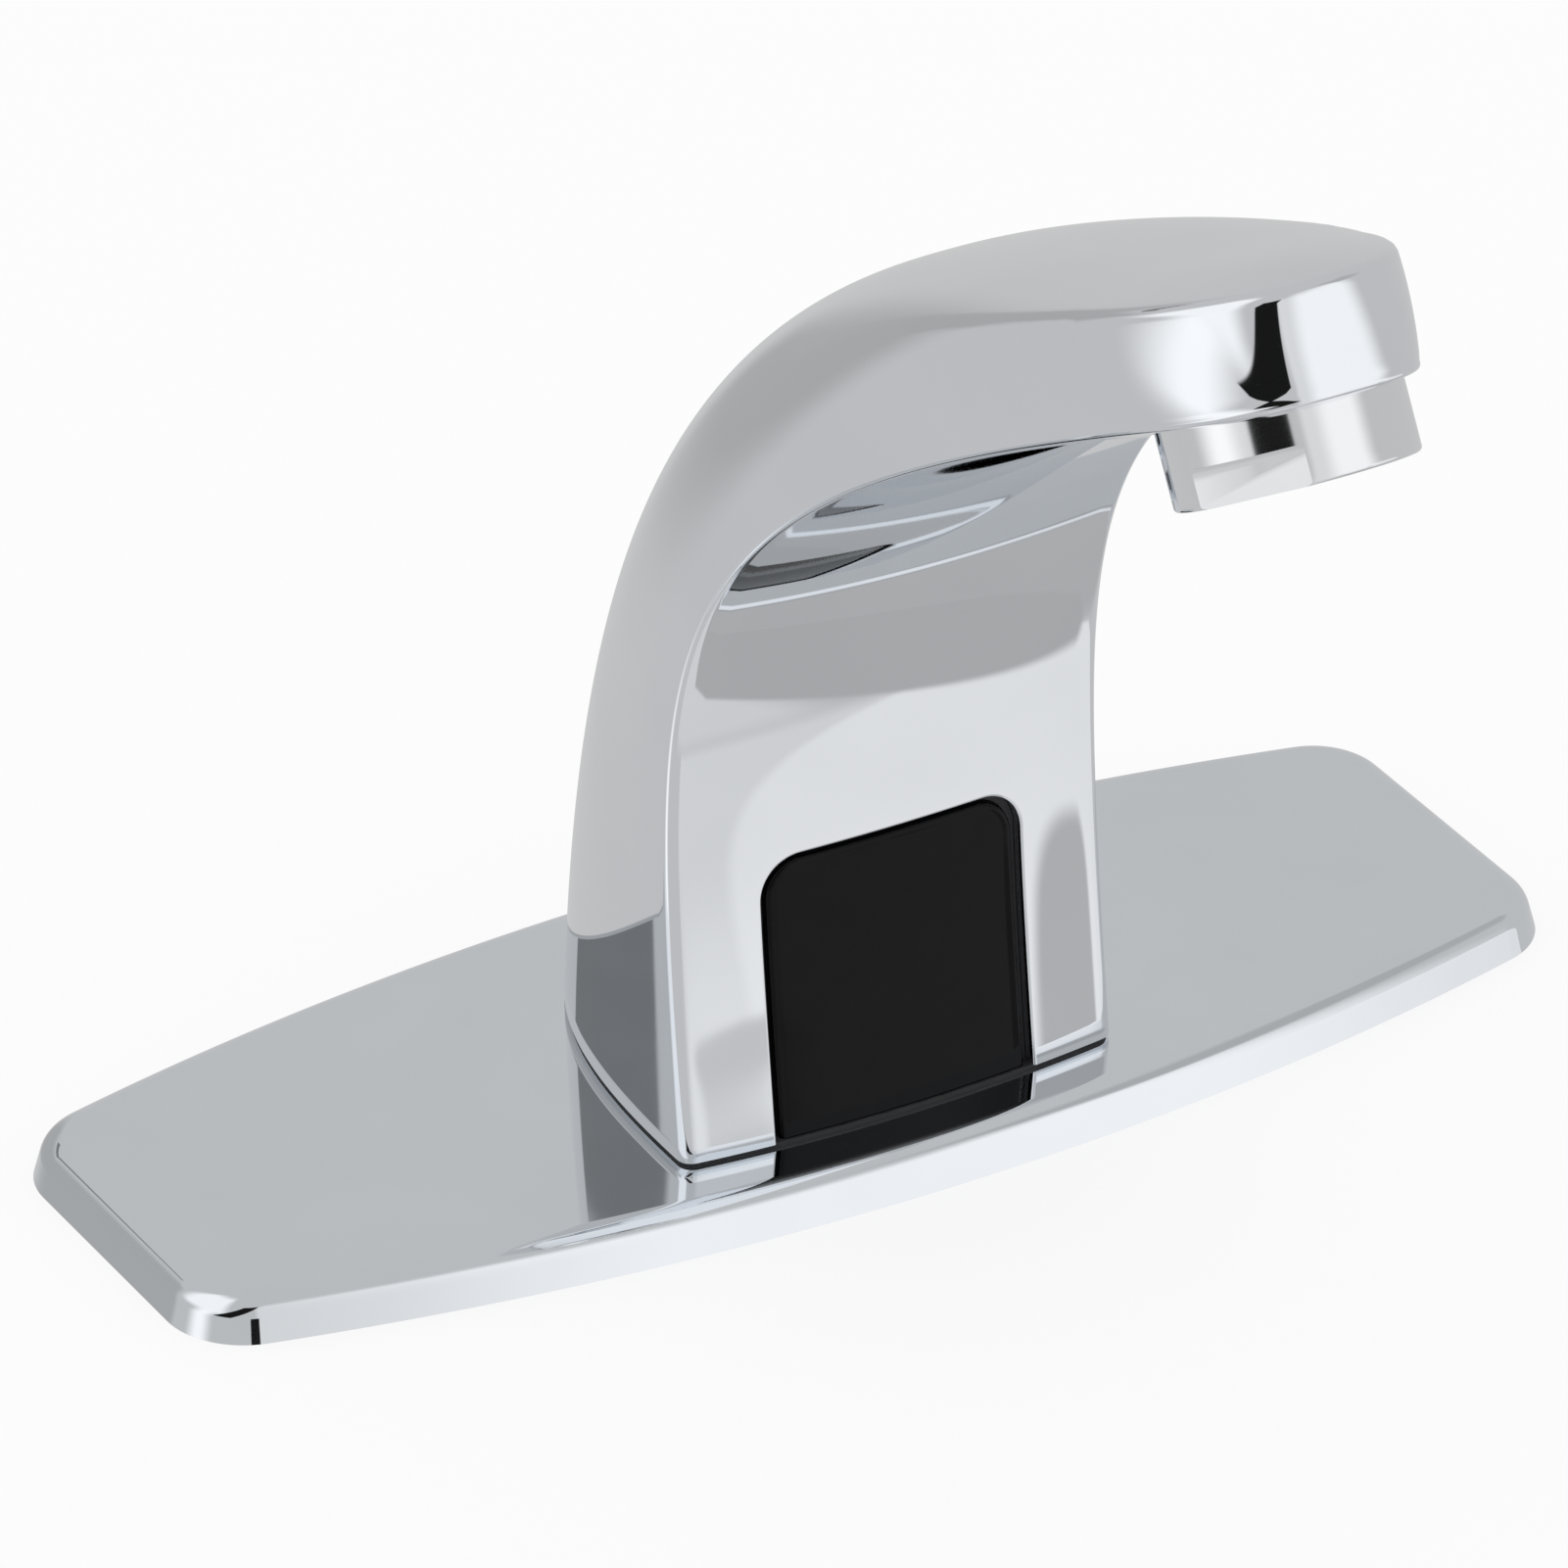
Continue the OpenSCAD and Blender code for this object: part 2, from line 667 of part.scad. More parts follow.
// Valve housing: the main seat hangs from its roof, with the inlet in the lug beside it
module valve_body() {
    color([0.86, 0.86, 0.84]) difference() {
        union() {
            at_valve(body_z) cylinder(h = valve_top_z - body_z, r = valve_r, $fn = 96);
            translate([supply_x, 0, body_z]) cylinder(h = bore_top_z - body_z, r = lug_r, $fn = 64);
            screw_places(body_z)
                cylinder(h = valve_screw_l + valve_screw_end, r = screw_lug_r, $fn = 32);
        }
        difference() {
            at_valve(body_z - overrun)
                cylinder(h = bore_top_z - body_z + overrun, r = piston_r, $fn = 96);
            at_valve(seat_z) cylinder(h = valve_top_z - seat_z, r = seat_r, $fn = 64);
        }
        at_valve(seat_z - overrun) cylinder(h = valve_top_z - seat_z, r = way_in_r, $fn = 48);
        at_valve(valve_top_z - tube_in_valve)
            cylinder(h = tube_in_valve + overrun, r = tube_r + run_gap, $fn = 48);
        at_valve(outlet_groove_z) groove(tube_r);
        translate([supply_x, 0, body_z - overrun])
            cylinder(h = tube_in_valve + overrun, r = tube_r + run_gap, $fn = 48);
        translate([supply_x, 0, lug_groove_z]) groove(tube_r);
        translate([supply_x, 0, body_z]) cylinder(h = drill_z - body_z + way_drill_r, r = way_in_r, $fn = 48);
        translate([supply_x, -valve_y / 2, drill_z]) rotate([0, -90, 0])
            cylinder(h = supply_x - seat_r - drill_end, r = way_drill_r, $fn = 32);
        screw_places(body_z - overrun)
            cylinder(h = valve_screw_l + valve_screw_end - cover_t + overrun,
                r = valve_screw_r + run_gap, $fn = 24);
    }
}

// Valve cover: it closes the valve from below and holds the pilot nozzle and the core tube
module valve_cover() {
    color([0.84, 0.84, 0.82]) difference() {
        union() {
            at_valve(cover_z) cylinder(h = cover_t, r = valve_r, $fn = 96);
            at_coil(cover_z) cylinder(h = cover_t, r = coil_r, $fn = 64);
            translate([supply_x, 0, cover_z]) cylinder(h = cover_t, r = lug_r, $fn = 64);
            translate([-post_x, post_y, cover_z])
                cylinder(h = cover_t, r = screw_lug_r + post_pin_r, $fn = 48);
            screw_places(cover_z) cylinder(h = cover_t, r = screw_lug_r, $fn = 32);
        }
        translate([supply_x, 0, cover_z - overrun])
            cylinder(h = cover_t + 2 * overrun, r = tube_r + run_gap, $fn = 48);
        translate([-post_x, post_y, cover_z - overrun])
            cylinder(h = overrun + post_pin_h + loose_gap, r = post_pin_r + run_gap, $fn = 32);
        difference() {
            at_coil(cover_z - overrun)
                cylinder(h = core_seat_h + overrun, r = core_r + run_gap, $fn = 64);
            at_coil(cover_z) cylinder(h = cover_t, r = pilot_r, $fn = 32);
        }
        at_coil(cover_z - overrun) cylinder(h = cover_t + 2 * overrun, r = pilot_hole_r, $fn = 24);
        screw_places(cover_z - overrun)
            cylinder(h = cover_t + 2 * overrun, r = valve_screw_r + loose_gap, $fn = 24);
    }
}

// Three screws through the cover into the valve body
module valve_screws() {
    color([0.62, 0.63, 0.65]) screw_places(cover_z)
        cap_screw(valve_screw_r, valve_screw_l, valve_head_r, valve_head_h);
}

// Main piston, with a pocket for its spring
module valve_piston() {
    color([0.90, 0.90, 0.88]) at_valve(seat_z - piston_seal_t - piston_t) difference() {
        cylinder(h = piston_t, r = piston_r - run_gap, $fn = 96);
        translate([0, 0, -overrun]) cylinder(h = pocket_h + overrun, r = pocket_r, $fn = 64);
    }
}

// Rubber face of the piston, which closes the main seat
module piston_seal() {
    color([0.10, 0.10, 0.11]) at_valve(seat_z - piston_seal_t)
        cylinder(h = piston_seal_t, r = seat_r + seat_lip, $fn = 64);
}

module piston_spring() {
    color([0.70, 0.71, 0.73]) at_valve(body_z)
        spring(piston_spring_r, spring_wire_r, piston_spring_h, 4);
}

// Closed tube that the plunger slides in, with the fixed core at its foot
module core_tube() {
    color([0.76, 0.77, 0.79]) at_coil(coil_z) difference() {
        cylinder(h = cover_z + core_seat_h - coil_z, r = core_r, $fn = 64);
        translate([0, 0, core_stop_h])
            cylinder(h = cover_z - coil_z, r = core_bore_r, $fn = 64);
    }
}

// Plastic bobbin round the core tube
module coil_bobbin() {
    color([0.92, 0.92, 0.90]) at_coil(bobbin_z) {
        tube(bobbin_outer_r, core_r + run_gap, coil_flange_t);
        tube(core_r + run_gap + bobbin_t, core_r + run_gap, bobbin_h);
        translate([0, 0, bobbin_h - coil_flange_t])
            tube(bobbin_outer_r, core_r + run_gap, coil_flange_t);
    }
}

module coil_winding() {
    color([0.72, 0.42, 0.20]) at_coil(bobbin_z + coil_flange_t)
        tube(bobbin_outer_r - loose_gap, core_r + 2 * run_gap + bobbin_t,
            bobbin_h - 2 * coil_flange_t);
}

// Steel can round the coil, open at its top
module coil_shell() {
    color([0.55, 0.56, 0.58]) at_coil(coil_z + coil_flange_t / 2) difference() {
        cylinder(h = cover_z - coil_z - coil_flange_t / 2, r = coil_r, $fn = 64);
        translate([0, 0, coil_shell_t]) cylinder(h = coil_h + overrun, r = coil_r - coil_shell_t, $fn = 64);
        translate([0, 0, -overrun]) cylinder(h = coil_h, r = core_r + run_gap, $fn = 64);
    }
}

// Steel plunger with a pocket for its spring
module plunger() {
    color([0.66, 0.67, 0.69]) at_coil(plunger_z) difference() {
        cylinder(h = plunger_h, r = core_bore_r - run_gap, $fn = 64);
        translate([0, 0, -overrun])
            cylinder(h = plunger_pocket_h + overrun, r = plunger_pocket_r, $fn = 48);
    }
}

module plunger_seal() {
    color([0.10, 0.10, 0.11]) at_coil(cover_z - plunger_pad_t)
        cylinder(h = plunger_pad_t, r = plunger_pad_r, $fn = 48);
}

module plunger_spring() {
    color([0.70, 0.71, 0.73]) at_coil(core_stop_z)
        spring(plunger_spring_r, spring_wire_r, plunger_spring_h, 6);
}

// Ring round the outlet tube's path, where the path leans forward by angle a
function riser_ring(r, y, z, a) = [for (k = [0:23]) let (b = 15 * k)
    [r * cos(b), y + r * sin(b) * cos(a), z + r * sin(b) * sin(a)]];

// Rod along the outlet tube's path, run on past both ends by extra
module riser(r, extra) {
    run = bend_way - tube_end_way + extra;
    loft(concat([riser_ring(r, -valve_y, valve_top_z - tube_in_valve - extra, 0)],
        [for (i = [0:8]) let (a = bend_turn * i / 8)
            riser_ring(r, -valve_y - bend_r * (1 - cos(a)), bend_z + bend_r * sin(a), a)],
        [riser_ring(r, bend_end_y - run * sin(bend_turn), bend_end_z + run * cos(bend_turn), bend_turn)]));
}

// Riser from the valve, bent forward into the spout
module outlet_tube() {
    color([0.80, 0.66, 0.36]) difference() {
        riser(tube_r, 0);
        riser(tube_r - tube_t, overrun);
    }
}

// The body's own form behind the window, drawn in by inset
module window_form(inset) {
    body_form([for (i = [0:window_stations]) window_form_share * i / window_stations],
        inset, window_fronts, window_sides, 0);
}

// Gloss black infrared window, cut to the body's own front face
module sensor_window() {
    color([0.03, 0.03, 0.04]) intersection() {
        window_form(window_setback);
        window_shape(window_gap, -module_front_y);
    }
}

// Seal in the recess round the window
module window_seal() {
    color([0.05, 0.05, 0.05]) difference() {
        intersection() {
            window_form(seal_setback);
            window_shape(run_gap, -module_front_y);
        }
        window_shape(window_gap - run_gap, overrun - module_front_y);
    }
}

// Box of the sensor module, open to the front and to the back, with a screw post in each corner
module sensor_housing() {
    color([0.13, 0.13, 0.14]) difference() {
        union() {
            difference() {
                translate([-module_half_w, -module_front_y, module_z])
                    cube([2 * module_half_w, module_d, module_h]);
                translate([housing_t - module_half_w, -module_front_y - overrun, module_z + housing_t])
                    cube([2 * (module_half_w - housing_t), module_d + 2 * overrun, module_h - 2 * housing_t]);
            }
            module_corners() translate([-post_w / 2, -module_front_y, -post_w / 2])
                cube([post_w, board_front_y + module_front_y, post_w]);
        }
        module_corners() translate([0, lid_front_y, 0]) rotate([90, 0, 0])
            cylinder(h = housing_screw_l, r = housing_screw_r + run_gap, $fn = 24);
    }
}

// The four screw places of the module, in its XZ plane
module module_corners() {
    for (side = [-1, 1], z = [module_z + screw_inset, module_z + module_h - screw_inset])
        translate([side * (module_half_w - screw_inset), 0, z]) children();
}

// Rear lid of the module
module housing_lid() {
    color([0.15, 0.15, 0.16]) difference() {
        translate([-module_half_w, lid_front_y, module_z]) cube([2 * module_half_w, lid_t, module_h]);
        module_corners() translate([0, lid_back_y + overrun, 0]) rotate([90, 0, 0])
            cylinder(h = lid_t + 2 * overrun, r = housing_screw_r + loose_gap, $fn = 24);
        bracket_holes() translate([0, lid_back_y + overrun, 0]) rotate([90, 0, 0])
            cylinder(h = lid_t + 2 * overrun, r = bracket_screw_r + run_gap, $fn = 24);
    }
}

module housing_screws() {
    color([0.62, 0.63, 0.65]) module_corners() translate([0, lid_back_y, 0]) rotate([90, 0, 0])
        cap_screw(housing_screw_r, housing_screw_l, housing_head_r, housing_head_h);
}

// Circuit board, notched round the screw posts by its own holes
module sensor_board() {
    w = module_half_w - housing_t - loose_gap;
    color([0.08, 0.30, 0.16]) difference() {
        translate([-w, board_front_y, module_z + housing_t + loose_gap])
            cube([2 * w, board_t, module_h - 2 * (housing_t + loose_gap)]);
        module_corners() translate([0, lid_front_y, 0]) rotate([90, 0, 0])
            cylinder(h = lid_front_y - board_front_y + overrun, r = housing_screw_r + loose_gap, $fn = 24);
    }
}

// A domed diode that stands on the board and looks forward
module diode(r, d) {
    translate([0, board_front_y, 0]) rotate([90, 0, 0]) {
        cylinder(h = d - r, r = r, $fn = 48);
        translate([0, 0, d - r]) intersection() {
            sphere(r, $fn = 48);
            cylinder(h = r, r = r, $fn = 48);
        }
    }
}

module ir_emitter() {
    color([0.25, 0.22, 0.35]) translate([-diode_x, 0, module_z + diode_z]) diode(diode_r, diode_d);
}

module ir_receiver() {
    color([0.10, 0.09, 0.12]) translate([diode_x, 0, module_z + diode_z]) diode(diode_r, diode_d);
}

module status_led() {
    color([0.70, 0.15, 0.12]) translate([0, 0, module_z + led_z]) diode(led_r, diode_d);
}

// Wall between the emitter and the receiver
module light_baffle() {
    color([0.08, 0.08, 0.09]) translate([-baffle_t / 2, -module_front_y, module_z + housing_t])
        cube([baffle_t, board_front_y + module_front_y, baffle_h + housing_t]);
}

// The two screw places of the bracket on the lid
module bracket_holes() {
    for (side = [-1, 1]) translate([side * bracket_screw_x, 0, lid_screw_z]) children();
}

// Angle bracket that holds the module on the block
module module_bracket() {
    color([0.70, 0.71, 0.72]) difference() {
        union() {
            translate([-bracket_half_w, lid_back_y, block_top])
                cube([2 * bracket_half_w, bracket_t, bracket_h]);
            translate([-bracket_half_w, lid_back_y, block_top])
                cube([2 * bracket_half_w, bracket_foot, bracket_t]);
        }
        translate([-bracket_notch, lid_back_y - overrun, block_top - overrun])
            cube([2 * bracket_notch, bracket_foot + 2 * overrun, notch_h + overrun]);
        bracket_holes() translate([0, lid_back_y + bracket_t + overrun, 0]) rotate([90, 0, 0])
            cylinder(h = bracket_t + 2 * overrun, r = bracket_screw_r + loose_gap, $fn = 24);
        for (side = [-1, 1]) translate([side * bracket_screw_x, foot_screw_y, block_top - overrun])
            cylinder(h = bracket_t + 2 * overrun, r = bracket_screw_r + loose_gap, $fn = 24);
    }
}

module bracket_screws() {
    color([0.62, 0.63, 0.65]) {
        bracket_holes() translate([0, lid_back_y + bracket_t, 0]) rotate([90, 0, 0])
            cap_screw(bracket_screw_r, bracket_t + lid_t, bracket_head_r, bracket_head_h);
        for (side = [-1, 1]) translate([side * bracket_screw_x, foot_screw_y, block_top + bracket_t])
            rotate([180, 0, 0])
                cap_screw(bracket_screw_r, bracket_screw_l, bracket_head_r, bracket_head_h);
    }
}

// Outer ring of the aerator: thread above, two wrench flats below
module aerator_shell() {
    color([0.82, 0.83, 0.85]) at_outlet() difference() {
        translate([0, 0, -aerator_show])
            cylinder(h = aerator_show + thread_h, r = aerator_r, $fn = 96);
        translate([0, 0, lip_t - aerator_show])
            cylinder(h = aerator_show + thread_h, r = aerator_bore_r, $fn = 96);
        translate([0, 0, -aerator_show - overrun])
            cylinder(h = lip_t + 2 * overrun, r = lip_r, $fn = 96);
        rotate([0, 0, -flats_turn]) for (side = [0, 180]) rotate([0, 0, side])
            translate([-aerator_r, flats_w / 2, -aerator_show - overrun])
                cube([2 * aerator_r, aerator_r, flats_h + overrun]);
    }
}

// Flow straightener with its comb of small holes
module aerator_insert() {
    color([0.90, 0.91, 0.90]) at_outlet() translate([0, 0, lip_t - aerator_show]) difference() {
        cylinder(h = insert_h, r = aerator_bore_r - run_gap, $fn = 96);
        for (i = [-insert_rings:insert_rings], j = [-insert_rings:insert_rings])
            let (x = insert_pitch * (i + j / 2), y = insert_pitch * j * sqrt(3) / 2)
                if (norm([x, y]) < lip_r - insert_hole_r) translate([x, y, -overrun])
                    cylinder(h = insert_h + 2 * overrun, r = insert_hole_r, $fn = 6);
    }
}

module flow_regulator() {
    color([0.20, 0.34, 0.60]) at_outlet() translate([0, 0, regulator_z]) difference() {
        cylinder(h = regulator_h, r = aerator_bore_r - run_gap, $fn = 96);
        for (i = [1:regulator_holes]) rotate([0, 0, 360 * i / regulator_holes])
            translate([aerator_bore_r * regulator_ring_share, 0, -overrun])
                cylinder(h = regulator_h + 2 * overrun, r = regulator_hole_r, $fn = 24);
    }
}

// Domed strainer on top of the aerator
module aerator_screen() {
    color([0.88, 0.89, 0.88]) at_outlet() translate([0, 0, regulator_z + regulator_h])
        rotate_extrude($fn = 64) polygon([[aerator_bore_r - run_gap, 0],
            [aerator_bore_r - run_gap, screen_t], [lip_r, screen_t],
            [0, screen_rise], [0, screen_rise - screen_t], [lip_r - screen_t, 0]]);
}

module aerator_washer() {
    color([0.08, 0.08, 0.09]) at_outlet() translate([0, 0, thread_h])
        tube(aerator_r - run_gap, washer_bore_r, washer_t);
}

spout_body();
deck_plate();
deck_gasket();
body_gasket();
base_block();
base_screws();
lead_grommet();
inlet_filter();
inlet_tube();
tube_seals();
support_post();
valve_body();
valve_cover();
valve_screws();
valve_piston();
piston_seal();
piston_spring();
core_tube();
coil_bobbin();
coil_winding();
coil_shell();
plunger();
plunger_seal();
plunger_spring();
outlet_tube();
sensor_window();
window_seal();
sensor_housing();
housing_lid();
housing_screws();
sensor_board();
ir_emitter();
ir_receiver();
status_led();
light_baffle();
module_bracket();
bracket_screws();
aerator_shell();
aerator_insert();
flow_regulator();
aerator_screen();
aerator_washer();
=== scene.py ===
"""Sensor tap on a deck plate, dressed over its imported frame. +Z is up and the spout points to -Y.

Sizes are named in millimetres, as in the CAD model, and every mesh is made in metres.
"""
import json
import math

import bmesh
import bpy
import numpy as np
from mathutils import Matrix, Vector
from mathutils.bvhtree import BVHTree


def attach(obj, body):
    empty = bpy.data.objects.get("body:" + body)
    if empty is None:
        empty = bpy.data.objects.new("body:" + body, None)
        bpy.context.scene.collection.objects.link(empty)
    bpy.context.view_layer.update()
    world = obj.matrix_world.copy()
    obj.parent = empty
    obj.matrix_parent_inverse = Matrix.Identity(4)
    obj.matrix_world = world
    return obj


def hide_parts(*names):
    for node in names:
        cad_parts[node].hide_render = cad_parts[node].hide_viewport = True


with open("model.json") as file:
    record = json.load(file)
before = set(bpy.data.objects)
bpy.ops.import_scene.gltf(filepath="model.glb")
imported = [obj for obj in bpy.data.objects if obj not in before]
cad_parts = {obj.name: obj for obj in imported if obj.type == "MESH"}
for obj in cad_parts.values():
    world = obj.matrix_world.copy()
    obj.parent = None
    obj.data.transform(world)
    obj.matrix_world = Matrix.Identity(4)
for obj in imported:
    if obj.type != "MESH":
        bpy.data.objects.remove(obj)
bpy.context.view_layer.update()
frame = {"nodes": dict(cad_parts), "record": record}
MM = 0.001

# After a cut, what is narrower than SLIVER goes. A point within ON_SURFACE of the uncut surface lies on it,
# and a face belongs to it when its middle is within NEAR_SURFACE and the two directions agree.
SLIVER = 0.002
ON_SURFACE = 0.004
NEAR_SURFACE = 0.08
SAME_WAY = 0.9

# Edges that turn by more degrees than this are sharp
SHARP_DEGREES = 40
BODY_SHARP_DEGREES = 35
RING_SHARP_DEGREES = 20

# Deck plate
PLATE_L = 160
PLATE_W = 62
PLATE_BOW = 10.8
PLATE_CORNER_R = 8.9
PLATE_H = 4.8
SHEET_T = 1.5
PLATE_HOLLOW_INSET = 3.2
PLATE_HOLE_R = 17.5
RIM_R = 3
RIM_LEAN = math.radians(15)

# Body
FOOT_W = 50.6
FOOT_D = 45.8
FRONT_Y = 21.3
FRONT_CROWN = 1.8
EDGE_R = 1.6
SPOUT_EDGE_R = 0.7
WALL = 2.6
GASKET_T = 0.5
GASKET_INSET = 0.3
GASKET_BULGE = 0.06
FOOT_Z = PLATE_H + GASKET_T

# Spout
REACH = 85
UNDER_Z = 117
NOSE_H = 14
NOSE_W = 28.4
NOSE_ROUND = 20.5
NOSE_DRAFT = 1
UNDER_SLOPE = math.radians(27.5)
TOP_SLOPE = math.radians(23)
FRONT_HANDLE = (-14, 63)
BACK_HANDLE = (17, 100)
UNDER_HANDLE = 82
TOP_HANDLE = 42
WAIST_W = 49.6
SHOULDER_W = 51.2
SQUARE_SHARES = (2.6, 2.6, 1.2, 5)
NOSE_SQUARE_SHARES = (3.2, 2.35)
WALL_BULGE = 0.45
CREASE_SHARE = 0.87
CREASE_SOFT = 0.9
TOP_ARCH_SHARE = 2.4
FLARE_SHARE = 0.17
HOLLOW_SHARE = 0.58

# Sensor window
OPENING_W = 30.2
OPENING_H = 31.2
OPENING_R = 4.6
OPENING_ROUND = 0.35
WINDOW_GAP = 0.8
WINDOW_ROUND = 0.5
WINDOW_SETBACK = 0.6
SEAL_SETBACK = 1.6
MODULE_FRONT_Y = 17.6
MODULE_BACK_Y = 10.2

# Outlet
OUTLET_TILT = math.radians(30)
OUTLET_AHEAD = 5.3
AERATOR_R = 12
AERATOR_SHOW = 8.2
AERATOR_BORE_R = 9.5
AERATOR_LIP_T = 0.9
AERATOR_LIP_R = 8.6
AERATOR_EDGE = 0.45
THREAD_H = 5.5
SOCKET_DEPTH = 6.5
CHAMBER_R = 8
CHAMBER_H = 4.5
FLATS_W = 21
FLATS_H = 4
FLATS_TURN = math.radians(51)
FLATS_CORNER_R = 0.4
RUN_GAP = 0.05

# Places of the base screws' bosses
BLOCK_TOP = 12
BOSS_X = 13.5
BOSS_Y = 12
BOSS_R = 4.2
BOSS_H = 12

# How far the cutters stand out past what they cut
CUT_AHEAD = 6
CUT_BELOW = 2
HOLLOW_BELOW = 1
FLATS_BELOW = 1
FLATS_OUT = 4


def flat(y, z):
    """A point or direction in the middle plane."""
    return np.array([y, z], float)


UNDER_DIR = flat(-math.cos(UNDER_SLOPE), math.sin(UNDER_SLOPE))
NOSE_UP = flat(math.sin(UNDER_SLOPE), math.cos(UNDER_SLOPE))
TOP_DIR = flat(-math.cos(TOP_SLOPE), math.sin(TOP_SLOPE))
NOSE_UNDER = flat(-REACH, UNDER_Z)
NOSE_TOP = NOSE_UNDER + NOSE_H * NOSE_UP
TOP_ROUND = (NOSE_ROUND - NOSE_DRAFT) / math.cos(UNDER_SLOPE - TOP_SLOPE)
FRONT_CURVE = [flat(-FRONT_Y, FOOT_Z), flat(*FRONT_HANDLE),
               NOSE_UNDER - UNDER_HANDLE * UNDER_DIR, NOSE_UNDER]
BACK_CURVE = [flat(FOOT_D - FRONT_Y, FOOT_Z), flat(*BACK_HANDLE),
              NOSE_TOP - TOP_HANDLE * TOP_DIR, NOSE_TOP]
HALF_WIDTHS = [FOOT_W / 2, WAIST_W / 2, SHOULDER_W / 2, NOSE_W / 2]
NOSE_TAPER = (SHOULDER_W - NOSE_W) / 2 / UNDER_HANDLE
OUTLET_POINT = NOSE_UNDER + OUTLET_AHEAD * UNDER_DIR


def curve(p, t):
    """A point of a cubic curve."""
    s = 1 - t
    return s * s * s * p[0] + 3 * s * s * t * p[1] + 3 * s * t * t * p[2] + t * t * t * p[3]


# How finely the body is drawn: along it, and the front, edge arc and side of its cross-section
BODY_STATIONS = 121
NOSE_STATIONS = 56
HOLLOW_STATIONS = 30
FRONT_STEPS = 16
EDGE_STEPS = 8
SIDE_STEPS = 56
DENSE_STEPS = 600
WALL_STEPS = 100
TOP_STEPS = 300

# How finely the window is drawn: points on its corners and straight sides, rows up it, columns across
CORNER_STEPS = 14
STRAIGHT_STEPS = 24
TOP_EDGE_STEPS = 12
WINDOW_ROWS = 37
WINDOW_COLUMNS = 30

# How finely the small roundings and the aerator's ring are drawn
OPENING_ROUND_POINTS = 5
WINDOW_ROUND_POINTS = 7
RING_ROUND_POINTS = 6
RING_WALL_POINTS = 8
RING_SIDES = 160

# Where along the body its side starts to turn into the nose's, and where its edge grows sharper
CREASE_FROM = 0.6
SHARPER_FROM = 0.3
SHARPER_TO = 0.6

# The station that lies above all of the window, and how often the search for a height halves what is below
ABOVE_WINDOW = 0.6
HALVINGS = 40


def ease(value, start, end):
    """Smooth step from 0 at start to 1 at end."""
    t = min(max((value - start) / (end - start), 0), 1)
    return t * t * (3 - 2 * t)


def half_section(u, inset=0.0):
    """Right half of a cross-section as rows of x and depth, from the front's middle to the back's middle.

    Also returns the front's point, the direction from there to the back, the depth and the half width,
    drawn in by inset.
    """
    front = curve(FRONT_CURVE, u)
    back = curve(BACK_CURVE, u)
    length = np.linalg.norm(back - front)
    along = (back - front) / length
    front = front + inset * along
    depth = length - 2 * inset
    w = curve(HALF_WIDTHS, u) - inset
    n = curve(SQUARE_SHARES, u)
    flare = FLARE_SHARE * u * u
    r = EDGE_R + (SPOUT_EDGE_R - EDGE_R) * ease(u, SHARPER_FROM, SHARPER_TO)

    x = np.linspace(0, w - r, FRONT_STEPS + 1)
    face = np.stack([x, -FRONT_CROWN * (1 - (x / w) ** 2)], 1)

    start = face[-1]
    slope = 2 * FRONT_CROWN * (w - r) / w ** 2
    corner = np.array([w, start[1] + slope * r])
    end = np.array([w, r])
    t = np.linspace(0, 1, EDGE_STEPS + 1)[1:-1, None]
    edge = (1 - t) ** 2 * start + 2 * t * (1 - t) * corner + t * t * end

    first = math.asin((r / depth) ** (n / 2))
    a = np.linspace(first, math.pi / 2, DENSE_STEPS)
    e = np.sin(a) ** (2 / n)
    dense = np.stack([w * np.clip(np.cos(a), 0, 1) ** (2 / n) * (1 + flare * e), depth * e], 1)
    dense[-1] = (0, depth)
    side = evenly(dense, SIDE_STEPS)
    creased = ease(u, CREASE_FROM, 1)
    if creased:
        side = (1 - creased) * side + creased * creased_side(end, w, depth, flare)
    return np.concatenate([face, edge, side]), front, along, depth, w


def evenly(line, steps):
    """Points at even distances along a line."""
    run = np.concatenate([[0], np.cumsum(np.linalg.norm(np.diff(line, axis=0), axis=1))])
    at = np.linspace(0, run[-1], steps + 1)
    return np.stack([np.interp(at, run, line[:, 0]), np.interp(at, run, line[:, 1])], 1)


def creased_side(start, w, depth, flare):
    """The nose's side: a nearly flat wall up to a soft crease, then an arched top."""
    crease = np.array([w * (1 + flare * CREASE_SHARE), CREASE_SHARE * depth])
    t = np.linspace(0, 1, WALL_STEPS)[:, None]
    wall = start + t * (crease - start) + 4 * t * (1 - t) * np.array([WALL_BULGE, 0])
    x = np.linspace(1, 0, TOP_STEPS)[1:] * crease[0]
    rise = (depth - crease[1]) * (1 - (x / crease[0]) ** TOP_ARCH_SHARE)
    line = evenly(np.concatenate([wall, np.stack([x, crease[1] + rise], 1)]), DENSE_STEPS)
    spacing = np.linalg.norm(line[1] - line[0])
    reach = max(int(CREASE_SOFT / spacing), 1)
    soft = line.copy()
    for k in range(reach, len(line) - reach):
        soft[k] = line[k - reach:k + reach + 1].mean(0)
    return evenly(soft, SIDE_STEPS)


def whole_ring(half):
    """A full ring from its right half: the front's middle, round the right side to the back, and home."""
    left = half[-2:0:-1] * np.array([-1, 1, 1])
    return np.concatenate([half, left])


def body_ring(u, inset=0.0):
    """Cross-section of the body at station u, from 0 at the foot to 1 where the nose begins."""
    q, front, along = half_section(u, inset)[:3]
    yz = front + q[:, 1:2] * along
    return whole_ring(np.column_stack([q[:, 0], yz]))


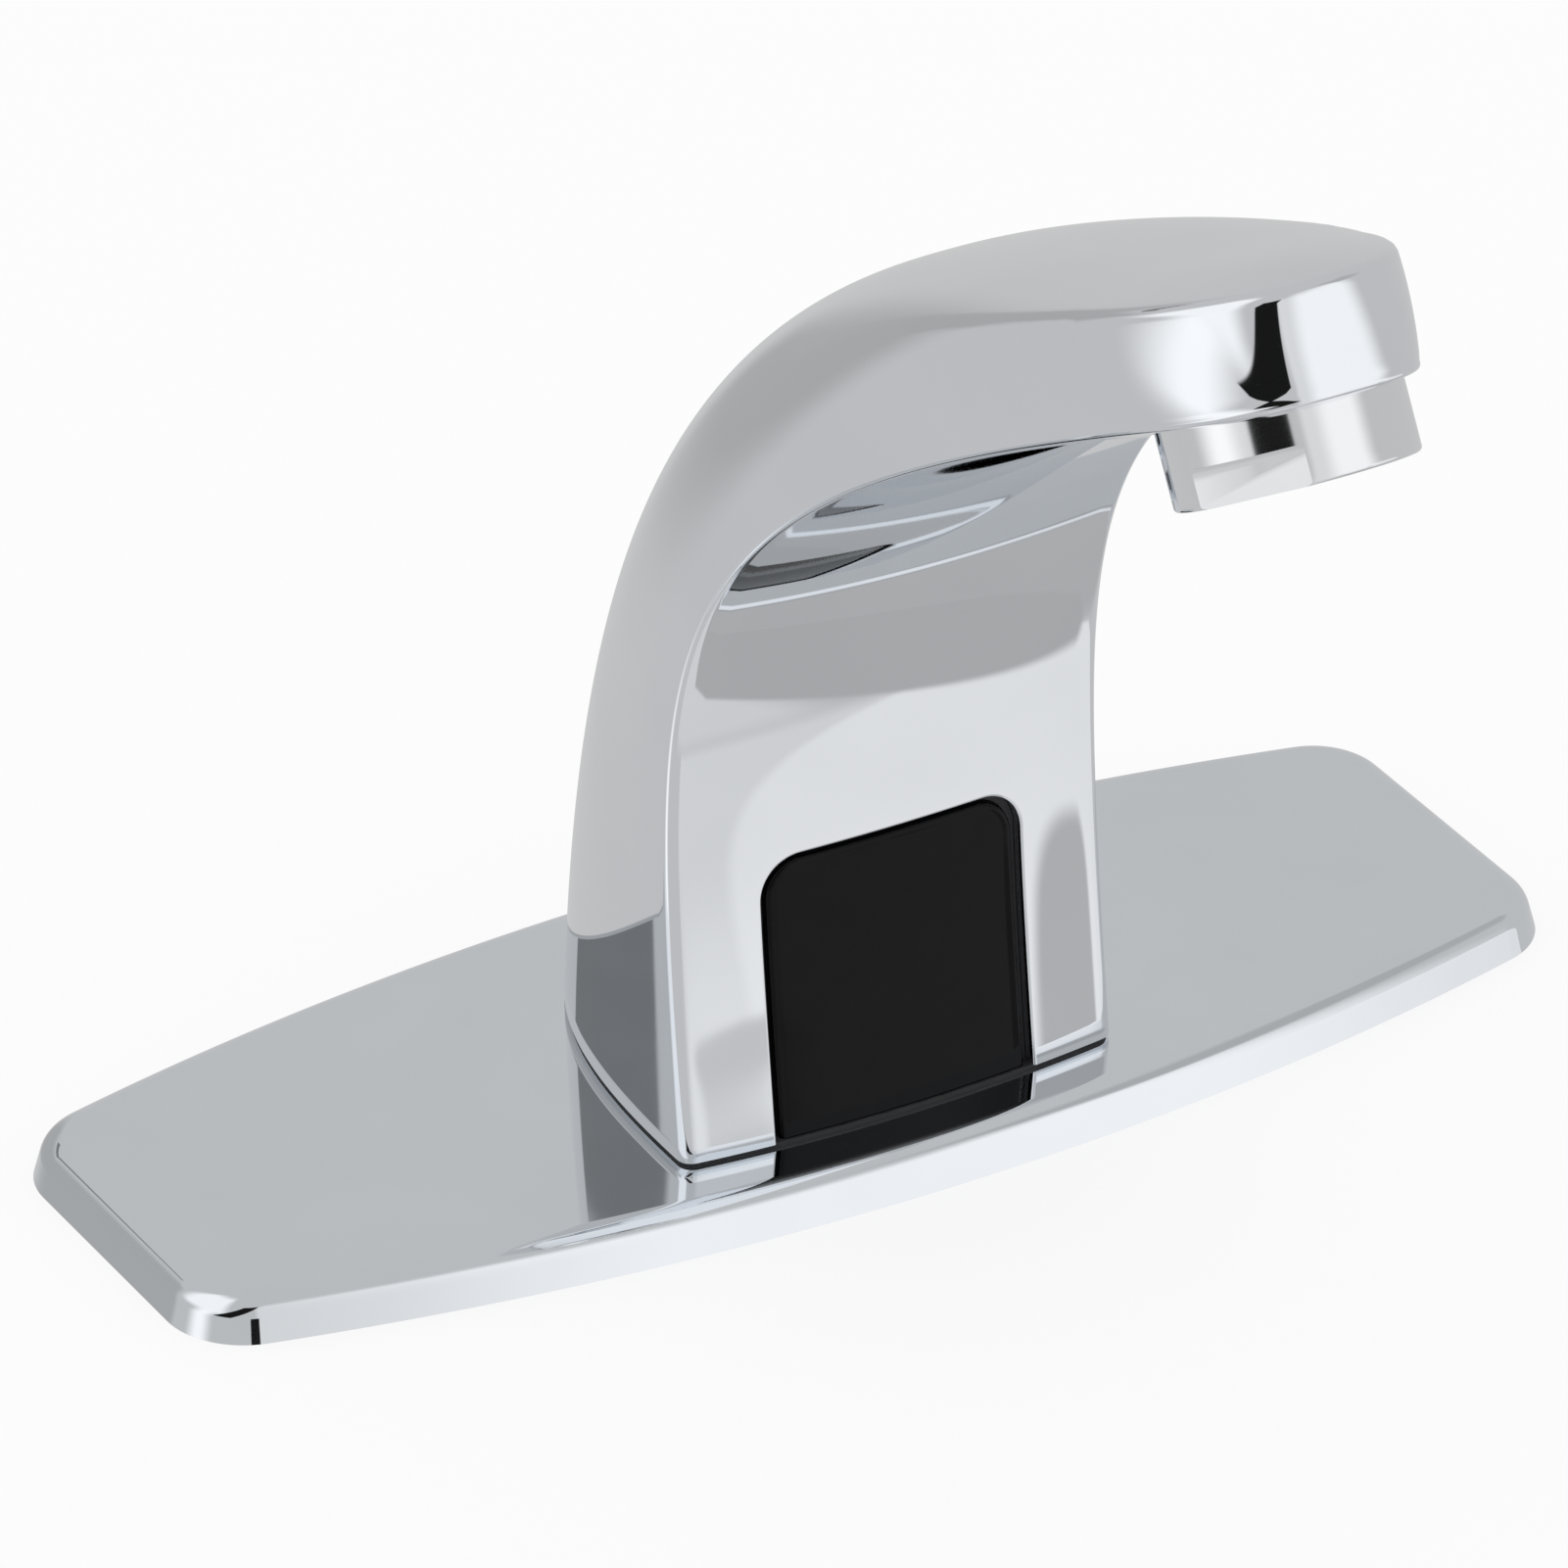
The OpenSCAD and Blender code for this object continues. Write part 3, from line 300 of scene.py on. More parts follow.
def nose_ring(a):
    """Cross-section swept round the nose by angle a, from 0 to a quarter turn at its tip."""
    q, front, _, depth, w = half_section(1.0)
    share = (q[:, 1] / depth)[:, None]
    low, high = NOSE_SQUARE_SHARES
    n = low + (high - low) * np.clip(share, 0, 1)
    s = math.sin(a) ** (2 / n)
    c = max(math.cos(a), 0) ** (2 / n)
    widest = w * (1 + FLARE_SHARE * np.clip(share[:, 0], 0, 1))
    drawn_in = (w * (1 - np.minimum(q[:, 0] / widest, 1)))[:, None]
    ahead = (1 - share) * (NOSE_ROUND - drawn_in) * UNDER_DIR + share * (TOP_ROUND - drawn_in) * TOP_DIR
    yz = front + share * (NOSE_TOP - NOSE_UNDER) + s * ahead
    narrowed = c * (1 - s * NOSE_TAPER * NOSE_ROUND / w)
    return whole_ring(np.column_stack([q[:, 0] * narrowed[:, 0], yz]))


def mesh_object(name, points, faces, smooth=True):
    """A mesh object from points in millimetres."""
    mesh = bpy.data.meshes.new(name)
    mesh.from_pydata([tuple(p) for p in np.asarray(points, float) * MM], [], faces)
    mesh.validate()
    bm = bmesh.new()
    bm.from_mesh(mesh)
    bmesh.ops.remove_doubles(bm, verts=bm.verts, dist=1e-8)
    bmesh.ops.recalc_face_normals(bm, faces=bm.faces)
    for face in bm.faces:
        face.smooth = smooth
    bm.to_mesh(mesh)
    bm.free()
    obj = bpy.data.objects.new(name, mesh)
    bpy.context.scene.collection.objects.link(obj)
    return obj


def ring_faces(count, m, closed=False):
    """Faces between neighbouring rings of m points, and if closed also between the last and the first."""
    faces = []
    for i in range(count if closed else count - 1):
        n = (i + 1) % count
        for j in range(m):
            k = (j + 1) % m
            faces.append((i * m + j, i * m + k, n * m + k, n * m + j))
    return faces


def loft(name, rings, smooth=True, seam=False):
    """A closed skin over rings with equal numbers of points, with a fan over each end.

    With seam the last ring is folded onto itself and needs no fan.
    """
    rings = [np.asarray(r, float) for r in rings]
    m = len(rings[0])
    points = np.concatenate(rings + [rings[0].mean(0)[None], rings[-1].mean(0)[None]])
    faces = ring_faces(len(rings), m)
    last = (len(rings) - 1) * m
    for j in range(m):
        k = (j + 1) % m
        faces.append((len(points) - 2, k, j))
        if not seam:
            faces.append((len(points) - 1, last + j, last + k))
    if seam:
        points = points[:-1]
    return mesh_object(name, points, faces, smooth)


def apply_modifiers(obj):
    """Keeps what the modifiers make of the mesh, and drops the modifiers."""
    bpy.context.view_layer.update()
    made = bpy.data.meshes.new_from_object(obj.evaluated_get(bpy.context.evaluated_depsgraph_get()))
    obj.modifiers.clear()
    obj.data = made


def cut(obj, *cutters):
    """Cuts other closed meshes out of obj and deletes them."""
    for cutter in cutters:
        step = obj.modifiers.new("cut", "BOOLEAN")
        step.operation = "DIFFERENCE"
        step.solver = "EXACT"
        step.object = cutter
        apply_modifiers(obj)
        bpy.data.objects.remove(cutter)


def cylinder_between(name, start, end, r, sides=96):
    """A closed cylinder between two points, for cutting."""
    start = np.asarray(start, float)
    end = np.asarray(end, float)
    axis = (end - start) / np.linalg.norm(end - start)
    other = np.array([1.0, 0, 0]) if abs(axis[0]) < 0.9 else np.array([0, 1.0, 0])
    p = np.cross(axis, other)
    p /= np.linalg.norm(p)
    q = np.cross(axis, p)
    turn = np.linspace(0, 2 * math.pi, sides, endpoint=False)
    ring = r * (np.cos(turn)[:, None] * p + np.sin(turn)[:, None] * q)
    return loft(name, [start + ring, end + ring])


def drop_slivers(obj):
    """Joins points and removes faces that a cut left without width."""
    bm = bmesh.new()
    bm.from_mesh(obj.data)
    bmesh.ops.remove_doubles(bm, verts=bm.verts, dist=SLIVER * MM)
    bmesh.ops.dissolve_degenerate(bm, edges=bm.edges, dist=SLIVER * MM)
    bmesh.ops.triangulate(bm, faces=[f for f in bm.faces if len(f.verts) > 4])
    bmesh.ops.dissolve_degenerate(bm, edges=bm.edges, dist=SLIVER * MM)
    bm.to_mesh(obj.data)
    bm.free()


def smooth_reference(obj):
    """The smooth normals of a mesh, to be read by place after the mesh has been cut."""
    mesh = obj.data
    mesh.calc_loop_triangles()
    points = [v.co.copy() for v in mesh.vertices]
    normals = [v.normal.copy() for v in mesh.vertices]
    triangles = [tuple(t.vertices) for t in mesh.loop_triangles]
    return BVHTree.FromPolygons(points, triangles), points, normals, triangles


def restore_normals(obj, reference, sharp_degrees):
    """Gives what is left of a cut surface the normals that it had, and sharpens the new edges."""
    tree, points, normals, triangles = reference
    mesh = obj.data
    mesh.set_sharp_from_angle(angle=math.radians(sharp_degrees))
    custom = [(0.0, 0.0, 0.0)] * len(mesh.loops)
    for face in mesh.polygons:
        middle = tree.find_nearest(face.center)
        if middle[3] > NEAR_SURFACE * MM or abs(middle[1].dot(face.normal)) < SAME_WAY:
            continue
        found = []
        for loop in face.loop_indices:
            co = mesh.vertices[mesh.loops[loop].vertex_index].co
            place, _, index, distance = tree.find_nearest(co)
            if distance > ON_SURFACE * MM:
                break
            a, b, c = triangles[index]
            weights = barycentric(place, points[a], points[b], points[c])
            normal = normals[a] * weights[0] + normals[b] * weights[1] + normals[c] * weights[2]
            found.append((loop, normal.normalized()))
        if len(found) == len(face.loop_indices):
            for loop, normal in found:
                custom[loop] = tuple(normal)
    mesh.normals_split_custom_set(custom)


def barycentric(p, a, b, c):
    """Weights of a triangle's corners at a point on it."""
    v0 = b - a
    v1 = c - a
    v2 = p - a
    d00 = v0.dot(v0)
    d01 = v0.dot(v1)
    d11 = v1.dot(v1)
    d20 = v2.dot(v0)
    d21 = v2.dot(v1)
    area = d00 * d11 - d01 * d01
    if abs(area) < 1e-24:
        return 1, 0, 0
    v = (d11 * d20 - d01 * d21) / area
    w = (d00 * d21 - d01 * d20) / area
    return 1 - v - w, v, w


def front_place(x, z, inset=0.0):
    """Y of the body's front face at x and z, drawn in by inset, found by halving the lower body."""
    low, high = 0.0, ABOVE_WINDOW
    for _ in range(HALVINGS):
        u = (low + high) / 2
        front = curve(FRONT_CURVE, u)
        back = curve(BACK_CURVE, u)
        along = (back - front) / np.linalg.norm(back - front)
        w = curve(HALF_WIDTHS, u) - inset
        p = front + (inset - FRONT_CROWN * (1 - (x / w) ** 2)) * along
        if p[1] < z:
            low = u
        else:
            high = u
    return p[0]


def opening_outline(grow):
    """Outline of the window's opening in XZ, from its lower right round the top to its lower left."""
    w = OPENING_W / 2 + grow
    top = FOOT_Z + OPENING_H + grow
    r = OPENING_R + grow / 2
    low = FOOT_Z
    points = []
    for z in np.linspace(low, top - r, STRAIGHT_STEPS, endpoint=False):
        points.append((w, z))
    for a in np.linspace(0, math.pi / 2, CORNER_STEPS + 1):
        points.append((w - r + r * math.cos(a), top - r + r * math.sin(a)))
    for x in np.linspace(w - r, r - w, TOP_EDGE_STEPS)[1:-1]:
        points.append((x, top))
    for a in np.linspace(math.pi / 2, math.pi, CORNER_STEPS + 1):
        points.append((r - w + r * math.cos(a), top - r + r * math.sin(a)))
    for z in np.linspace(top - r, low, STRAIGHT_STEPS + 1)[1:]:
        points.append((-w, z))
    return points


def opening_ring(grow, back, low, inset=0.0):
    """The opening's outline laid on the front face, then moved back, and run down to low."""
    points = [(x, front_place(x, z, inset) + back, z) for x, z in opening_outline(grow)]
    first, last = points[0], points[-1]
    return [(first[0], first[1], low)] + points + [(last[0], last[1], low)]


def laid_at(y, ring):
    """A ring laid flat at one y."""
    return [(x, y, z) for x, _, z in ring]


def opening_cutter():
    """Cutter of the window's recess, which leaves a small rounded edge on the chrome."""
    low = FOOT_Z - CUT_BELOW
    rings = [opening_ring(OPENING_ROUND, -CUT_AHEAD, low)]
    for a in np.linspace(0, math.pi / 2, OPENING_ROUND_POINTS):
        grow = OPENING_ROUND * (1 - math.sin(a))
        back = OPENING_ROUND * (1 - math.cos(a))
        rings.append(opening_ring(grow, back, low))
    rings.append(laid_at(-MODULE_BACK_Y, opening_ring(0, 0, low)))
    return loft("opening_cutter", rings)


def at_outlet(x, y, z):
    """A point of the outlet's own frame, whose Z is the aerator's axis, in the tap's frame."""
    s, c = math.sin(OUTLET_TILT), math.cos(OUTLET_TILT)
    return np.array([x, OUTLET_POINT[0] + y * c + z * s, OUTLET_POINT[1] - y * s + z * c])


def make_body():
    """Tap body: tower and spout in one skin, hollow like the casting."""
    rings = [body_ring(u) for u in np.linspace(0, 1, BODY_STATIONS)]
    turns = (1 - np.cos(np.linspace(0, math.pi, NOSE_STATIONS + 1)[1:])) / 2 * math.pi / 2
    rings += [nose_ring(a) for a in turns]
    body = loft("tap_body", rings, seam=True)
    reference = smooth_reference(body)

    hollow = [body_ring(u, WALL) for u in np.linspace(0, HOLLOW_SHARE, HOLLOW_STATIONS)]
    hollow.insert(0, hollow[0] - np.array([0, 0, HOLLOW_BELOW]))
    cavity = loft("cavity", hollow)
    bosses = [cylinder_between("boss", (side * BOSS_X, BOSS_Y, BLOCK_TOP),
                               (side * BOSS_X, BOSS_Y, BLOCK_TOP + BOSS_H), BOSS_R) for side in (-1, 1)]
    cut(cavity, *bosses)
    socket_top = at_outlet(0, 0, SOCKET_DEPTH)
    chamber_top = at_outlet(0, 0, SOCKET_DEPTH + CHAMBER_H)
    socket = cylinder_between("socket", at_outlet(0, 0, -CUT_AHEAD), socket_top, AERATOR_R + RUN_GAP)
    chamber = cylinder_between("chamber", at_outlet(0, 0, 0), chamber_top, CHAMBER_R)
    cut(body, cavity, opening_cutter(), socket, chamber)
    drop_slivers(body)
    restore_normals(body, reference, BODY_SHARP_DEGREES)
    return body


def plate_outline(inset):
    """Outline of the deck plate drawn in by inset, with the outward direction at each point."""
    arc_steps = 48
    corner_steps = 16
    half_l = PLATE_L / 2
    arc_r = (half_l ** 2 + PLATE_BOW ** 2) / (2 * PLATE_BOW)
    arc_y = PLATE_W / 2 - arc_r
    corner_x = half_l - PLATE_CORNER_R
    corner_y = arc_y + math.sqrt((arc_r - PLATE_CORNER_R) ** 2 - corner_x ** 2)
    corner_angle = math.asin(corner_x / (arc_r - PLATE_CORNER_R))
    quarter = []
    for a in np.linspace(0, corner_angle, arc_steps + 1):
        out = (math.sin(a), math.cos(a))
        quarter.append(((arc_r - inset) * out[0], arc_y + (arc_r - inset) * out[1], *out))
    for a in np.linspace(corner_angle, math.pi / 2, corner_steps + 1)[1:]:
        out = (math.sin(a), math.cos(a))
        quarter.append((corner_x + (PLATE_CORNER_R - inset) * out[0],
                        corner_y + (PLATE_CORNER_R - inset) * out[1], *out))
    q = np.array(quarter)
    back_left = q[1:] * (-1, 1, -1, 1)
    front_right = q[1:] * (1, -1, 1, -1)
    return np.concatenate([q[::-1], back_left, -q[::-1], front_right])


def make_plate():
    """Deck plate pressed from sheet: leaning wall, rounded rim, flat top, and a hollow below."""
    rim_steps = 20
    wall_h = PLATE_H - RIM_R * (1 - math.sin(RIM_LEAN))
    wall_in = wall_h * math.tan(RIM_LEAN)
    profile = [(wall_in * t, wall_h * t, RIM_LEAN) for t in (0, 0.5)]
    for a in np.linspace(RIM_LEAN, math.pi / 2, rim_steps + 1):
        profile.append((wall_in + RIM_R * (math.cos(RIM_LEAN) - math.cos(a)),
                        wall_h + RIM_R * (math.sin(a) - math.sin(RIM_LEAN)), a))
    rings = []
    normals = []
    for inset, z, a in profile:
        o = plate_outline(inset)
        rings.append(np.column_stack([o[:, :2], np.full(len(o), z)]))
        normals.append(np.column_stack([o[:, 2:] * math.cos(a), np.full(len(o), math.sin(a))]))
    m = len(rings[0])
    top = rings[-1]
    angle = np.arctan2(top[:, 1], top[:, 0])
    up = np.tile((0.0, 0, 1), (m, 1))
    hole = np.column_stack([PLATE_HOLE_R * np.cos(angle), PLATE_HOLE_R * np.sin(angle)])
    inner = plate_outline(PLATE_HOLLOW_INSET)[:, :2]
    roof = PLATE_H - SHEET_T
    rings.append(np.column_stack([hole, np.full(m, PLATE_H)]))
    normals.append(up)
    flat_from = len(rings) - 1
    rings.append(np.column_stack([hole, np.full(m, roof)]))
    rings.append(np.column_stack([inner, np.full(m, roof)]))
    rings.append(np.column_stack([inner, np.zeros(m)]))
    points = np.concatenate(rings)
    mesh = bpy.data.meshes.new("deck_cover")
    mesh.from_pydata([tuple(p) for p in points * MM], [], ring_faces(len(rings), m, closed=True))
    mesh.update()
    if mesh.polygons[0].normal.z < 0 or mesh.polygons[0].normal.dot(Vector(normals[0][0])) < 0:
        mesh.flip_normals()
    custom = [(0.0, 0.0, 0.0)] * len(mesh.loops)
    known = np.concatenate(normals)
    for face in mesh.polygons:
        face.use_smooth = True
        if max(face.vertices) < (flat_from + 1) * m:
            for loop in face.loop_indices:
                custom[loop] = tuple(known[mesh.loops[loop].vertex_index])
        else:
            for loop in face.loop_indices:
                custom[loop] = tuple(face.normal)
    mesh.normals_split_custom_set(custom)
    obj = bpy.data.objects.new("deck_cover", mesh)
    bpy.context.scene.collection.objects.link(obj)
    return obj


def foot_outline(inset):
    """Outline of the body's foot in XY, drawn in by inset."""
    return body_ring(0, inset)[:, :2]


def make_foot_gasket():
    """Rubber sheet between body and plate: a thin ring that follows the foot."""
    outer = foot_outline(GASKET_INSET)
    inner = foot_outline(WALL)
    middle = foot_outline(GASKET_INSET - GASKET_BULGE)
    low = PLATE_H
    high = FOOT_Z
    rings = []
    for outline, z in ((outer, low), (middle, (low + high) / 2), (outer, high), (inner, high), (inner, low)):
        rings.append(np.column_stack([outline, np.full(len(outline), z)]))
    return closed_rings("foot_gasket", rings)


def closed_rings(name, rings):
    """A mesh over rings whose last ring joins the first, such as a gasket."""
    obj = mesh_object(name, np.concatenate(rings), ring_faces(len(rings), len(rings[0]), closed=True))
    obj.data.set_sharp_from_angle(angle=math.radians(SHARP_DEGREES))
    return obj


def make_window():
    """Gloss black window, which follows the body's own front face and has a rounded edge."""
    low = FOOT_Z + RUN_GAP
    rings = [laid_at(-MODULE_FRONT_Y, opening_ring(-WINDOW_GAP, 0, low, WINDOW_SETBACK))]
    for a in np.linspace(0, math.pi / 2, WINDOW_ROUND_POINTS):
        grow = -WINDOW_GAP - WINDOW_ROUND * (1 - math.cos(a))
        rings.append(opening_ring(grow, WINDOW_ROUND * (1 - math.sin(a)), low, WINDOW_SETBACK))
    edge = rings[-1]
    points = [p for ring in rings for p in ring]
    m = len(edge)
    faces = ring_faces(len(rings), m)

    # The face is drawn in rows, each from a point of the right edge to its mirror image on the left
    base = (len(rings) - 1) * m
    start = len(points)
    for j in range(WINDOW_ROWS):
        right, left = edge[j], edge[m - 1 - j]
        for t in np.linspace(0, 1, WINDOW_COLUMNS + 1)[1:-1]:
            x = right[0] + (left[0] - right[0]) * t
            z = right[2] + (left[2] - right[2]) * t
            points.append((x, front_place(x, z, WINDOW_SETBACK), z))

    def place(row, column):
        """Number of the point in that row and column."""
        if column == 0:
            return base + row
        if column == WINDOW_COLUMNS:
            return base + m - 1 - row
        return start + row * (WINDOW_COLUMNS - 1) + column - 1

    for j in range(WINDOW_ROWS - 1):
        for t in range(WINDOW_COLUMNS):
            faces.append((place(j, t), place(j, t + 1), place(j + 1, t + 1), place(j + 1, t)))
    back = tuple(range(m))
    bottom = tuple(place(0, t) for t in range(WINDOW_COLUMNS + 1))
    last_row = [place(WINDOW_ROWS - 1, t) for t in range(WINDOW_COLUMNS + 1)]
    edge_above = list(range(base + m - 1 - WINDOW_ROWS, base + WINDOW_ROWS - 1, -1))
    faces += [back, bottom, tuple(last_row + edge_above)]
    obj = mesh_object("sensor_face", points, faces)
    obj.data.set_sharp_from_angle(angle=math.radians(SHARP_DEGREES))
    return obj


def make_window_seal():
    """Black seal in the gap round the window, set back behind its face."""
    low = FOOT_Z + RUN_GAP
    outer = opening_ring(-RUN_GAP, 0, low, SEAL_SETBACK)
    inner = opening_ring(RUN_GAP - WINDOW_GAP, 0, low, SEAL_SETBACK)
    rings = [outer, inner, laid_at(-MODULE_FRONT_Y, inner), laid_at(-MODULE_FRONT_Y, outer)]
    m = len(outer)
    points = [p for ring in rings for p in ring]
    faces = []
    for i in range(4):
        n = (i + 1) % 4
        for j in range(m - 1):
            faces.append((i * m + j, i * m + j + 1, n * m + j + 1, n * m + j))
    faces.append((0, m, 2 * m, 3 * m))
    faces.append((m - 1, 2 * m - 1, 3 * m - 1, 4 * m - 1))
    obj = mesh_object("sensor_face_seal", points, faces)
    obj.data.set_sharp_from_angle(angle=math.radians(SHARP_DEGREES))
    return obj


def make_aerator():
    """Chromed ring at the outlet: turned, with two wrench flats milled into it."""
    low = -AERATOR_SHOW
    e = AERATOR_EDGE
    profile = []
    for a in np.linspace(0, math.pi / 2, RING_ROUND_POINTS):
        profile.append((AERATOR_R - e + e * math.sin(a), low + e - e * math.cos(a)))
    profile += [(AERATOR_R, z) for z in np.linspace(low + e, 0, RING_WALL_POINTS)[1:]]
    profile += [(AERATOR_R, THREAD_H), (AERATOR_BORE_R, THREAD_H),
                (AERATOR_BORE_R, low + AERATOR_LIP_T), (AERATOR_LIP_R, low + AERATOR_LIP_T),
                (AERATOR_LIP_R, low + e / 2), (AERATOR_LIP_R + e / 2, low)]
    turn = np.linspace(0, 2 * math.pi, RING_SIDES, endpoint=False)
    rings = []
    for r, z in profile:
        rings.append(np.array([at_outlet(r * math.cos(a), r * math.sin(a), z) for a in turn]))
    ring = closed_rings("aerator_ring", rings)
    reference = smooth_reference(ring)
    cut(ring, flat_cutter(0), flat_cutter(math.pi))
    restore_normals(ring, reference, RING_SHARP_DEGREES)
    return ring


def flat_cutter(side):
    """Block that mills one wrench flat, with its inner corner rounded."""
    turn = side - FLATS_TURN
    c, s = math.cos(turn), math.sin(turn)
    low = -AERATOR_SHOW - FLATS_BELOW
    high = -AERATOR_SHOW + FLATS_H
    r = FLATS_CORNER_R
    depth = FLATS_W / 2
    profile = [(depth, low)]
    for a in np.linspace(0, math.pi / 2, RING_ROUND_POINTS):
        profile.append((depth + r * (1 - math.cos(a)), high - r + r * math.sin(a)))
    profile += [(depth + FLATS_OUT, high), (depth + FLATS_OUT, low)]
    rings = []
    for x in (-AERATOR_R, AERATOR_R):
        rings.append([at_outlet(x * c - y * s, x * s + y * c, z) for y, z in profile])
    return loft("flat_cutter", rings, smooth=False)


# The part of a noise's values that spread maps onto a range
NOISE_LOW = 0.3
NOISE_HIGH = 0.7


def noise(nodes, links, coords, scale, detail=2.0):
    """A noise value at coords."""
    tex = nodes.new("ShaderNodeTexNoise")
    tex.inputs["Scale"].default_value = scale
    tex.inputs["Detail"].default_value = detail
    tex.inputs["Roughness"].default_value = 0.5
    links.new(coords, tex.inputs["Vector"])
    return tex.outputs["Fac"]


def spread(nodes, links, value, low, high):
    """Maps a noise value onto a range."""
    step = nodes.new("ShaderNodeMapRange")
    step.inputs["From Min"].default_value = NOISE_LOW
    step.inputs["From Max"].default_value = NOISE_HIGH
    step.inputs["To Min"].default_value = low
    step.inputs["To Max"].default_value = high
    links.new(value, step.inputs["Value"])
    return step.outputs["Result"]


def surface(name, color, color_b=None, metallic=0.0, roughness=(0.4, 0.5), scale=900.0, bump=0.0,
            bump_scale=3000.0, stretch=(1, 1, 1), ior=1.45, coat=0.0):
    """A procedural surface: two colours mixed by noise, a roughness range, and a fine bump."""
    mat = bpy.data.materials.new(name)
    mat.use_nodes = True
    nodes = mat.node_tree.nodes
    links = mat.node_tree.links
    shader = nodes["Principled BSDF"]
    shader.inputs["Metallic"].default_value = metallic
    shader.inputs["IOR"].default_value = ior
    shader.inputs["Coat Weight"].default_value = coat
    where = nodes.new("ShaderNodeTexCoord")
    mapping = nodes.new("ShaderNodeMapping")
    mapping.inputs["Scale"].default_value = stretch
    links.new(where.outputs["Object"], mapping.inputs["Vector"])
    coords = mapping.outputs["Vector"]
    field = noise(nodes, links, coords, scale)
    links.new(spread(nodes, links, field, *roughness), shader.inputs["Roughness"])
    mix = nodes.new("ShaderNodeMix")
    mix.data_type = "RGBA"
    mix.inputs["A"].default_value = (*color, 1)
    mix.inputs["B"].default_value = (*(color_b or color), 1)
    links.new(spread(nodes, links, field, 0, 1), mix.inputs["Factor"])
    links.new(mix.outputs["Result"], shader.inputs["Base Color"])
    if bump:
        fine = noise(nodes, links, coords, bump_scale, detail=3.0)
        step = nodes.new("ShaderNodeBump")
        step.inputs["Strength"].default_value = 1.0
        step.inputs["Distance"].default_value = bump * MM
        links.new(fine, step.inputs["Height"])
        links.new(step.outputs["Normal"], shader.inputs["Normal"])
    return mat


def material_set():
    """Each material slot's surface."""
    return {
        "chromed_body": surface("polished chrome", (0.80, 0.82, 0.85), (0.82, 0.84, 0.87), 1.0,
                                (0.02, 0.035), scale=60, bump=0.0006, bump_scale=90),
        "chromed_plate": surface("plate chrome", (0.78, 0.81, 0.84), (0.80, 0.83, 0.86), 1.0, (0.03, 0.05),
                                 scale=80, bump=0.0006, bump_scale=120),
        "chromed_ring": surface("ring chrome", (0.82, 0.83, 0.85), (0.83, 0.84, 0.86), 1.0, (0.05, 0.08),
                                scale=120, bump=0.0004, bump_scale=200),
        "black_window": surface("black window", (0.0015, 0.0015, 0.002), (0.0025, 0.0025, 0.003), 0.0,
                                (0.05, 0.07), scale=200, ior=1.23),
        "black_rubber": surface("black rubber", (0.018, 0.018, 0.020), (0.030, 0.030, 0.032), 0.0,
                                (0.55, 0.75), scale=900, bump=0.01, bump_scale=2500),
        "foam": surface("closed-cell foam", (0.035, 0.035, 0.037), (0.060, 0.060, 0.063), 0.0, (0.8, 0.95),
                        scale=1500, bump=0.05, bump_scale=1800),
        "brass": surface("machined brass", (0.60, 0.42, 0.16), (0.70, 0.50, 0.22), 1.0, (0.18, 0.32),
                         scale=400, bump=0.004, bump_scale=1500, stretch=(1, 1, 6)),
        "steel": surface("drawn steel", (0.50, 0.51, 0.53), (0.62, 0.63, 0.65), 1.0, (0.2, 0.35),
                         scale=500, bump=0.003, bump_scale=1800, stretch=(1, 1, 5)),
        "white_plastic": surface("white plastic", (0.74, 0.74, 0.71), (0.78, 0.78, 0.75), 0.0, (0.35, 0.45),
                                 scale=600, bump=0.002, bump_scale=1500),
        "winding": surface("enamelled wire", (0.42, 0.16, 0.05), (0.58, 0.26, 0.10), 0.6, (0.25, 0.4),
                           scale=200, bump=0.03, bump_scale=400, stretch=(0.1, 0.1, 18)),
        "black_plastic": surface("black plastic", (0.016, 0.016, 0.018), (0.024, 0.024, 0.027), 0.0,
                                 (0.4, 0.55), scale=700, bump=0.004, bump_scale=2000),
        "board": surface("solder mask", (0.010, 0.09, 0.035), (0.014, 0.12, 0.05), 0.0, (0.25, 0.35),
                         scale=500, bump=0.003, bump_scale=900),
        "emitter": surface("tinted lens", (0.05, 0.04, 0.10), (0.06, 0.05, 0.12), 0.0, (0.08, 0.12),
                           scale=300, coat=0.3),
        "receiver": surface("filter lens", (0.012, 0.010, 0.016), (0.016, 0.014, 0.020), 0.0, (0.08, 0.12),
                            scale=300, coat=0.3),
        "led": surface("red lens", (0.45, 0.02, 0.015), (0.50, 0.03, 0.02), 0.0, (0.15, 0.22), scale=300,
                       coat=0.3),
        "regulator": surface("blue plastic", (0.035, 0.095, 0.32), (0.045, 0.115, 0.36), 0.0, (0.35, 0.45),
                             scale=500, bump=0.003, bump_scale=1500),
    }


def dress(obj, material):
    """Gives an object one material."""
    obj.data.materials.clear()
    obj.data.materials.append(material)


def put(piece, body, slot_name, materials, *nodes):
    """A finished piece: its surface, the body that it rides on and the nodes that it stands for."""
    dress(piece, materials[slot_name])
    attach(piece, body)
    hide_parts(*nodes)


# Camera, from the fit to the photograph
SENSOR = 36.0
LENS = 323.72
CAMERA_PLACE = (-0.619659, -1.065626, 0.759217)
CAMERA_RIGHT = (0.86493, -0.50189, 0)
CAMERA_UP = (0.25513, 0.43967, 0.86116)


